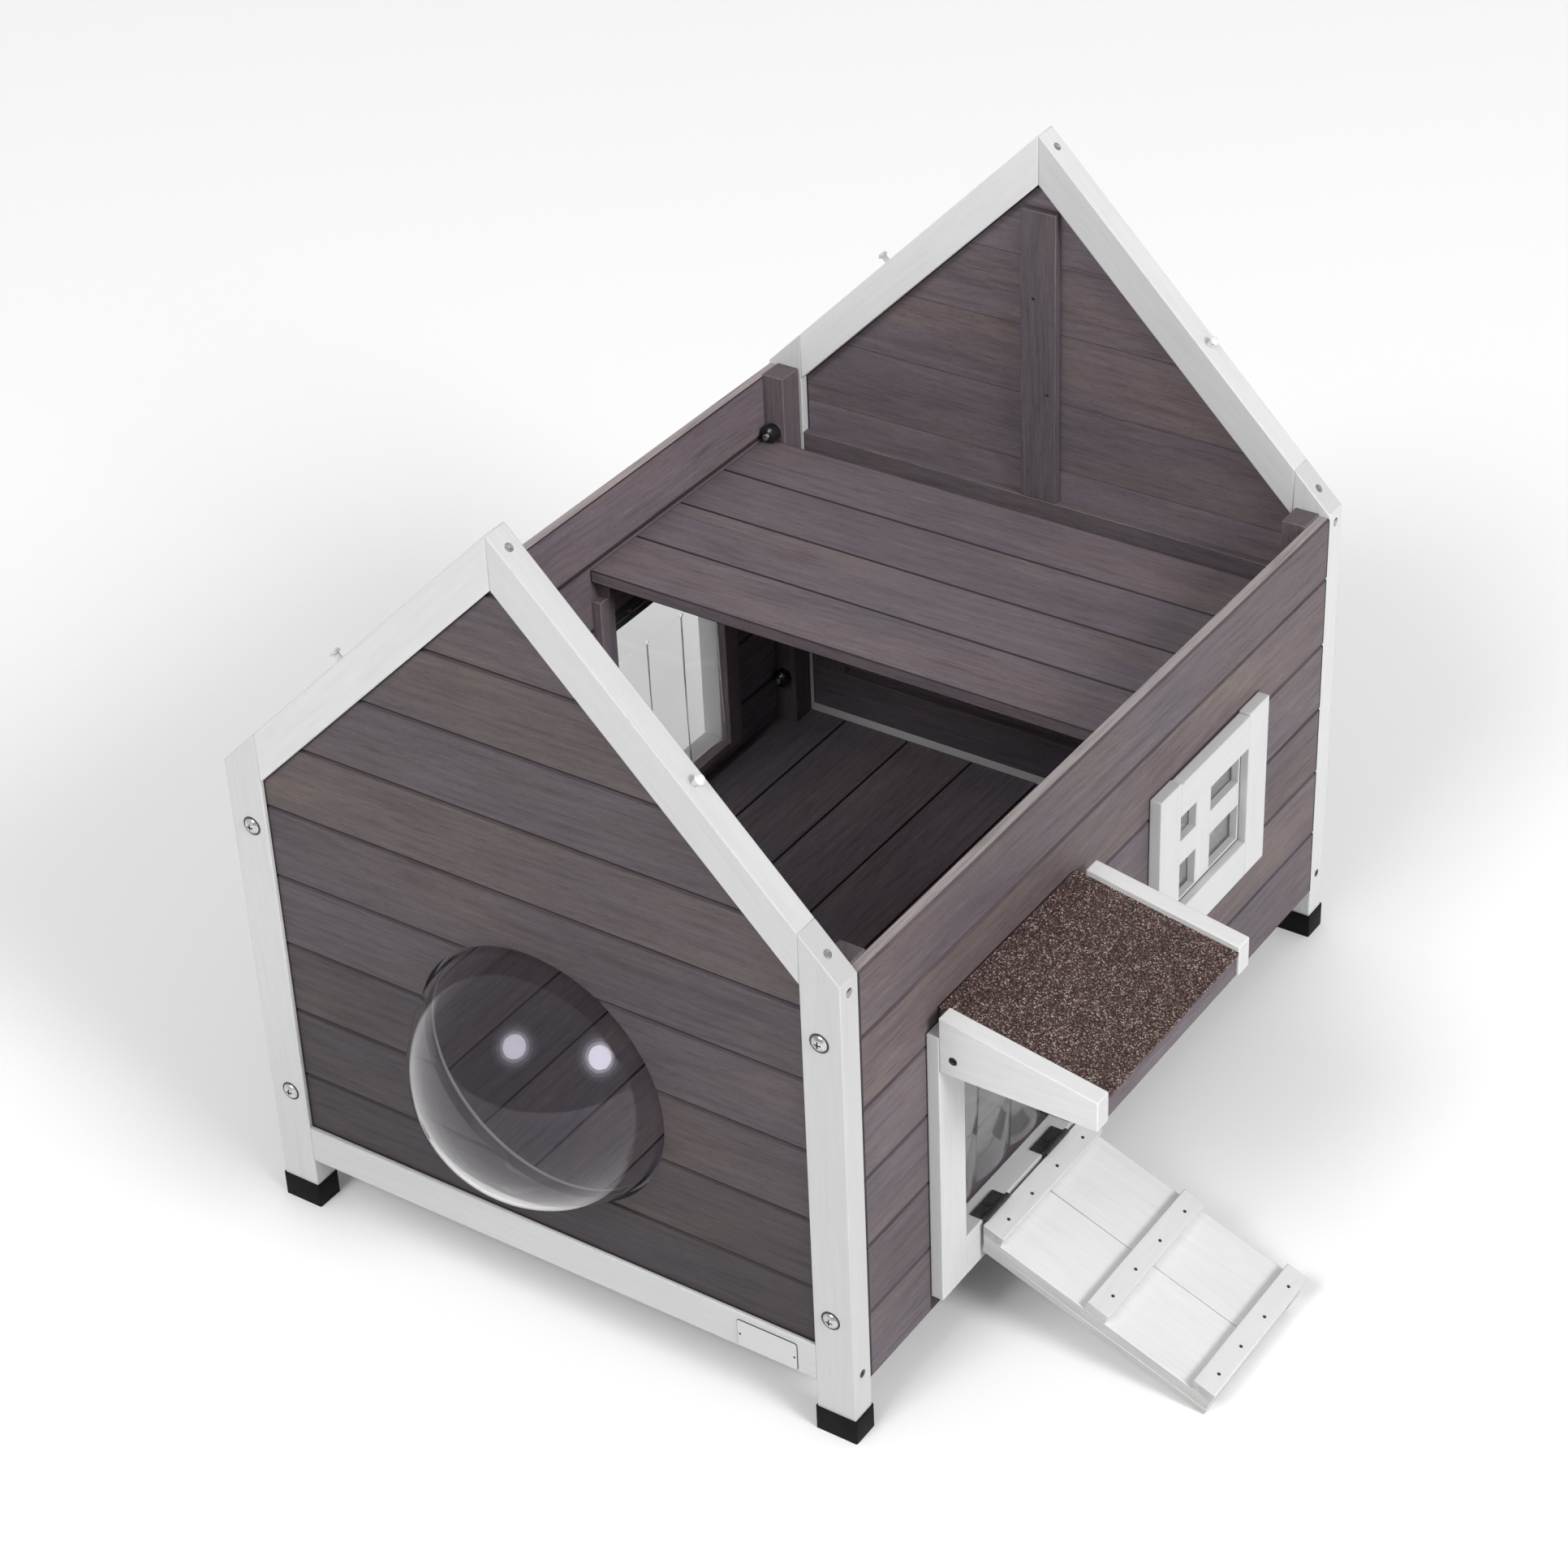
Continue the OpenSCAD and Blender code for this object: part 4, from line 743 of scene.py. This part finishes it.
def plate():
    """A thin bare metal plate with rounded corners on the front bottom rail, held by two pins."""
    left, right, bottom, top, r, thick = 0.1773, 0.2335, 0.0512, 0.0785, 0.0026, 0.0007
    outline = []
    for cx, cz, start in ((right - r, top - r, 0), (left + r, top - r, 90), (left + r, bottom + r, 180),
                          (right - r, bottom + r, 270)):
        for k in range(7):
            a = math.radians(start + 15 * k)
            outline.append((cx + r * math.cos(a), cz + r * math.sin(a)))
    bm = bmesh.new()
    front = bm.faces.new([bm.verts.new((x, -thick, z)) for x, z in outline])
    made = bmesh.ops.extrude_face_region(bm, geom=[front])
    for v in (g for g in made["geom"] if isinstance(g, bmesh.types.BMVert)):
        v.co.y = -0.00005
    bmesh.ops.recalc_face_normals(bm, faces=bm.faces)
    bevel(bm, [e for e in bm.edges if all(abs(v.co.y + thick) < 1e-6 for v in e.verts)], 0.0005)
    # Painted shade: the plate's sides and rounded rim get dark steel, a dark line all round its edge
    for face in bm.faces:
        face.material_index = 0 if face.normal.y < -0.99 else 1
    pin_inset, pin_z = 0.0028, 0.0640
    for x in (left + pin_inset, right - pin_inset):
        head = bmesh.ops.create_uvsphere(bm, u_segments=20, v_segments=10, radius=0.0010)
        for v in head["verts"]:
            v.co = Vector((x + v.co.x, -thick + 0.55 * v.co.y, pin_z + v.co.z))
            for face in v.link_faces:
                face.material_index = 1
                face.smooth = True
    piece_of(bm, "rail_plate", (PLATE, STEEL), BODY_OF["front_bottom_rail"])


def nail_heads():
    """Domed nail heads on the middle batten of the back gable."""
    bm = bmesh.new()
    for x, z in ((-0.0046, 0.5732), (0.0094, 0.4831)):
        head = bmesh.ops.create_uvsphere(bm, u_segments=24, v_segments=12, radius=0.0017)
        for v in head["verts"]:
            v.co = Vector((x + v.co.x, DEPTH - GABLE_THICK + 0.35 * v.co.y, z + v.co.z))
    for face in bm.faces:
        face.smooth = True
    piece_of(bm, "batten_nail_heads", (STEEL,), BODY_OF["back_gable_battens"])


def bolt_shadow_rings():
    """A thin dark ring under the head of each panel bolt: painted shade for the shadow round the head."""
    bm = bmesh.new()
    section = ((0.0066, 0.0), (0.0066, 0.0006), (0.0080, 0.0006), (0.0084, 0.0003), (0.0084, 0.0))
    turns = 40
    for y, outward in ((0.0, -1.0), (DEPTH, 1.0)):
        for x in (-BOLT_X, BOLT_X):
            for z in (BOLT_LOW, BOLT_HIGH):
                rows = [ring(bm, x, y + outward * (h + 0.00003), z, r, turns) for r, h in section]
                for a, b in zip(rows, rows[1:] + rows[:1]):
                    for j in range(turns):
                        n = (j + 1) % turns
                        bm.faces.new((a[j], a[n], b[n], b[j])).smooth = True
    bmesh.ops.recalc_face_normals(bm, faces=bm.faces)
    piece_of(bm, "bolt_shadow_rings", (STEEL,), BODY_OF["panel_bolts"])


def window_gap_shadow():
    """The black strip that fills the gap between the wall's opening and the window lattice: painted shade for
    the shadow in that gap.
    """
    bm = bmesh.new()
    rows = []
    for x in (0.2820, 0.2886):
        for y0, y1, z0, z1 in ((0.48505, 0.60295, 0.20405, 0.29995), (0.48645, 0.60155, 0.20545, 0.29855)):
            rows.append([bm.verts.new((x, y, z)) for y, z in ((y0, z0), (y1, z0), (y1, z1), (y0, z1))])
    for a, b in ((0, 1), (1, 3), (3, 2), (2, 0)):
        for j in range(4):
            n = (j + 1) % 4
            bm.faces.new((rows[a][j], rows[a][n], rows[b][n], rows[b][j]))
    bmesh.ops.recalc_face_normals(bm, faces=bm.faces)
    bevel(bm, [e for e in bm.edges if all(v.co.x > 0.288 for v in e.verts)], 0.0003)
    piece_of(bm, "window_gap_shadow", (PLASTIC,), BODY_OF["window_lattice"])


plate()
nail_heads()
bolt_shadow_rings()
window_gap_shadow()


# Bubble window
def bubble():
    """The blown dome as a fine lathe of its section, curving smoothly into its flange."""
    name = "bubble_window"
    low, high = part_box(name)
    middle = (low + high) / 2
    dome_r, sheet, rise, fillet = 0.115476, 0.0025, 0.105, 0.0022
    seat_y = high.y - sheet
    sink = dome_r - rise
    turn_r = math.sqrt((dome_r + fillet) ** 2 - (fillet + sink) ** 2)
    lean = math.atan2(fillet + sink, turn_r)
    lip = (high.x - low.x) / 2
    section = []

    def arc(centre_r, centre_h, radius, start, end, count):
        for k in range(count + 1):
            a = start + (end - start) * k / count
            section.append((centre_r + radius * math.cos(a), centre_h + radius * math.sin(a)))

    arc(0.0, -sink, dome_r - sheet, math.pi / 2, lean, 56)
    section.pop()
    arc(turn_r, fillet, fillet + sheet, math.pi + lean, 1.5 * math.pi, 8)
    section += [(lip - 0.0004, -sheet), (lip, -sheet + 0.0004), (lip, -0.0004), (lip - 0.0004, 0.0)]
    arc(turn_r, fillet, fillet, 1.5 * math.pi, math.pi + lean, 8)
    section.pop()
    arc(0.0, -sink, dome_r, lean, math.pi / 2, 56)
    turns = 160
    bm = bmesh.new()
    rows = []
    for r, rise_y in section:
        if r < 1e-5:
            rows.append([bm.verts.new((middle.x, seat_y - rise_y, middle.z))])
            continue
        rows.append(ring(bm, middle.x, seat_y - rise_y, middle.z, r, turns))
    for a, b in zip(rows, rows[1:]):
        for j in range(turns):
            n = (j + 1) % turns
            corners = [a[j % len(a)], a[n % len(a)], b[n % len(b)], b[j % len(b)]]
            corners = [v for i, v in enumerate(corners) if v not in corners[:i]]
            bm.faces.new(corners)
    bmesh.ops.recalc_face_normals(bm, faces=bm.faces)
    for face in bm.faces:
        face.smooth = True
        # The fillet and flange get the milky rim material, a painted highlight
        face.material_index = 1 if face.calc_center_median().y > seat_y - fillet else 0
    stand_in(name, bm, (ACRYLIC, ACRYLIC_RIM_HIGHLIGHT), sharp=30)


bubble()


# Soft clear curtain
def curl_piece(name, rows, columns, shape, edged=True, drop=0.0):
    """A clear strip or sheet cut into small cells and bowed out of its plane.

    shape: how far, from the shares of its width and its height. edged: its cut sides get their own grey.
    drop: how much lower its foot is set."""
    low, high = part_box(name)
    bm = bmesh.new()
    bm.from_mesh(NODES[name].data)
    bmesh.ops.remove_doubles(bm, verts=bm.verts, dist=1e-6)
    for k in range(1, rows):
        slice_at(bm, (0, 0, low.z + (high.z - low.z) * k / rows), ALONG_Z)
    for k in range(1, columns):
        slice_at(bm, (0, low.y + (high.y - low.y) * k / columns, 0), ALONG_Y)
    for face in bm.faces:
        face.smooth = abs(face.normal.x) > 0.5
        across = abs(face.normal.y) > SQUARE and face.calc_center_median().z < high.z - 0.001
        face.material_index = 1 if across and edged else 0
    for v in bm.verts:
        u = (v.co.y - low.y) / (high.y - low.y)
        w = (high.z - v.co.z) / (high.z - low.z)
        v.co.x += shape(u, w)
        if v.co.z < low.z + 1e-6:
            v.co.z -= drop
    stand_in(name, bm, (PVC, PVC_EDGE) if edged else (PVC,))


def strip_shape(k, lift, tilt, inward):
    """The shape of strip k: lift bows its edges, tilt turns its foot, and a slight wave runs down it."""
    def shape(u, w):
        bow = lift * (2 * u - 1) ** 2 * w ** 1.5
        swing = 0.0016 * tilt * (2 * u - 1) * w ** 1.2
        wave = 0.0007 * math.sin(5.0 * w + 1.7 * k) * w
        return inward * (bow + wave) + swing

    return shape


for side, inward, lifts in (("right", -1.0, (0.0056, 0.0038, 0.0060)),
                            ("left", 1.0, (0.0030, 0.0012, 0.0036))):
    curl_piece(side + "_flap_sheet", 6, 12, lambda u, w: 0.0, edged=False, drop=0.00025)
    for k, lift, tilt in zip((1, 2, 3), lifts, (1.0, -0.3, -1.0)):
        curl_piece(f"{side}_flap_strip_{k}", 28, 10, strip_shape(k, lift, tilt, inward))


# Mineral felt on the canopy
def felt_sheet():
    """The canopy's felt: its CAD solid's top cut into a fine grid and roughened with granules."""
    name = "canopy_shingle"
    low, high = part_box(name)
    bm = bmesh.new()
    bm.from_mesh(NODES[name].data)
    clean(bm)
    step = 0.0012
    for i, axis in enumerate((ALONG_X, ALONG_Y)):
        for k in range(1, int((high[i] - low[i]) / step)):
            slice_at(bm, axis * (low[i] + k * step), axis)
    bm.normal_update()
    rng = random.Random(77)
    depth, scatter = 0.0009, 0.0003
    for v in bm.verts:
        if all(f.normal.z > 0.5 for f in v.link_faces):
            v.co.z -= depth * rng.random() ** 2
            v.co.x += rng.uniform(-scatter, scatter)
            v.co.y += rng.uniform(-scatter, scatter)
    stand_in(name, bm, (FELT,))


felt_sheet()


# Stage, light and camera
def stage_floor():
    """A wide white floor."""
    mesh = bpy.data.meshes.new("stage_floor")
    half = 30.0
    corners = [(-half, -half, 0), (half, -half, 0), (half, half, 0), (-half, half, 0)]
    mesh.from_pydata(corners, [], [(0, 1, 2, 3)])
    material = new_material("stage_floor")[0]
    mesh.materials.append(finished(material, {"Base Color": (0.985, 0.985, 0.985, 1.0), "Roughness": 0.9,
                                              "Specular IOR Level": 0.1}))
    floor = bpy.data.objects.new("stage_floor", mesh)
    bpy.context.scene.collection.objects.link(floor)


def soft_box(name, direction, distance, brightness):
    """A round soft box whose brightness falls off towards its rim, aimed at the middle of the house."""
    aim = Vector(direction).normalized()
    target = DATUM + Vector((0.0, 0.3, 0.25))
    wide = 2 * distance * math.tan(math.radians(10.4))
    discs = ((1.75, 0.09), (1.4, 0.15), (1.1, 0.26), (0.85, 0.50))
    for k, (part, share) in enumerate(discs):
        light = bpy.data.lights.new(f"{name}_{k}", "AREA")
        light.shape = "DISK"
        light.size = wide * part
        light.energy = brightness * share * math.pi * math.pi * (wide / 2) ** 2
        lamp = bpy.data.objects.new(light.name, light)
        lamp.location = target + aim * (distance - 0.05 * k)
        lamp.rotation_euler = (target - lamp.location).to_track_quat("-Z", "Y").to_euler()
        bpy.context.scene.collection.objects.link(lamp)


def camera():
    """The photograph's camera, solved from the house's corners."""
    eye = Vector((1.42885, -1.67835, 2.00259)) + DATUM
    forward = Vector((-0.476118, 0.675112, -0.563503)).normalized()
    roll = -0.046
    level = forward.cross(ALONG_Z).normalized()
    upright = level.cross(forward)
    right = level * math.cos(roll) + upright * math.sin(roll)
    up = upright * math.cos(roll) - level * math.sin(roll)
    data = bpy.data.cameras.new("camera")
    data.sensor_width = 36.0
    data.lens = 83.65
    data.clip_end = 100.0
    cam = bpy.data.objects.new("camera", data)
    cam.matrix_world = Matrix.Translation(eye) @ Matrix((right, up, -forward)).transposed().to_4x4()
    bpy.context.scene.collection.objects.link(cam)
    bpy.context.scene.camera = cam


stage_floor()
soft_box("front_softbox", (-0.064, -0.72, 0.69), distance=14.0, brightness=12.4)
soft_box("right_softbox", (0.843, -0.162, 0.512), distance=14.0, brightness=18.8)
camera()

# An even white sky, a little brighter overhead
world = bpy.data.worlds.new("studio")
world.use_nodes = True
sky = world.node_tree
up = node(sky, "SeparateXYZ", {"Vector": node(sky, "TexCoord").outputs["Generated"]}).outputs["Z"]
high_up = math_node(sky, "POWER", math_node(sky, "MAXIMUM", up, 0.0), 2.0)
sky.links.new(math_node(sky, "MULTIPLY_ADD", high_up, 0.10, 0.45), sky.nodes["Background"].inputs["Strength"])
sky.nodes["Background"].inputs["Color"].default_value = (1.0, 1.0, 1.0, 1.0)
bpy.context.scene.world = world
bpy.context.scene.view_settings.view_transform = "Standard"
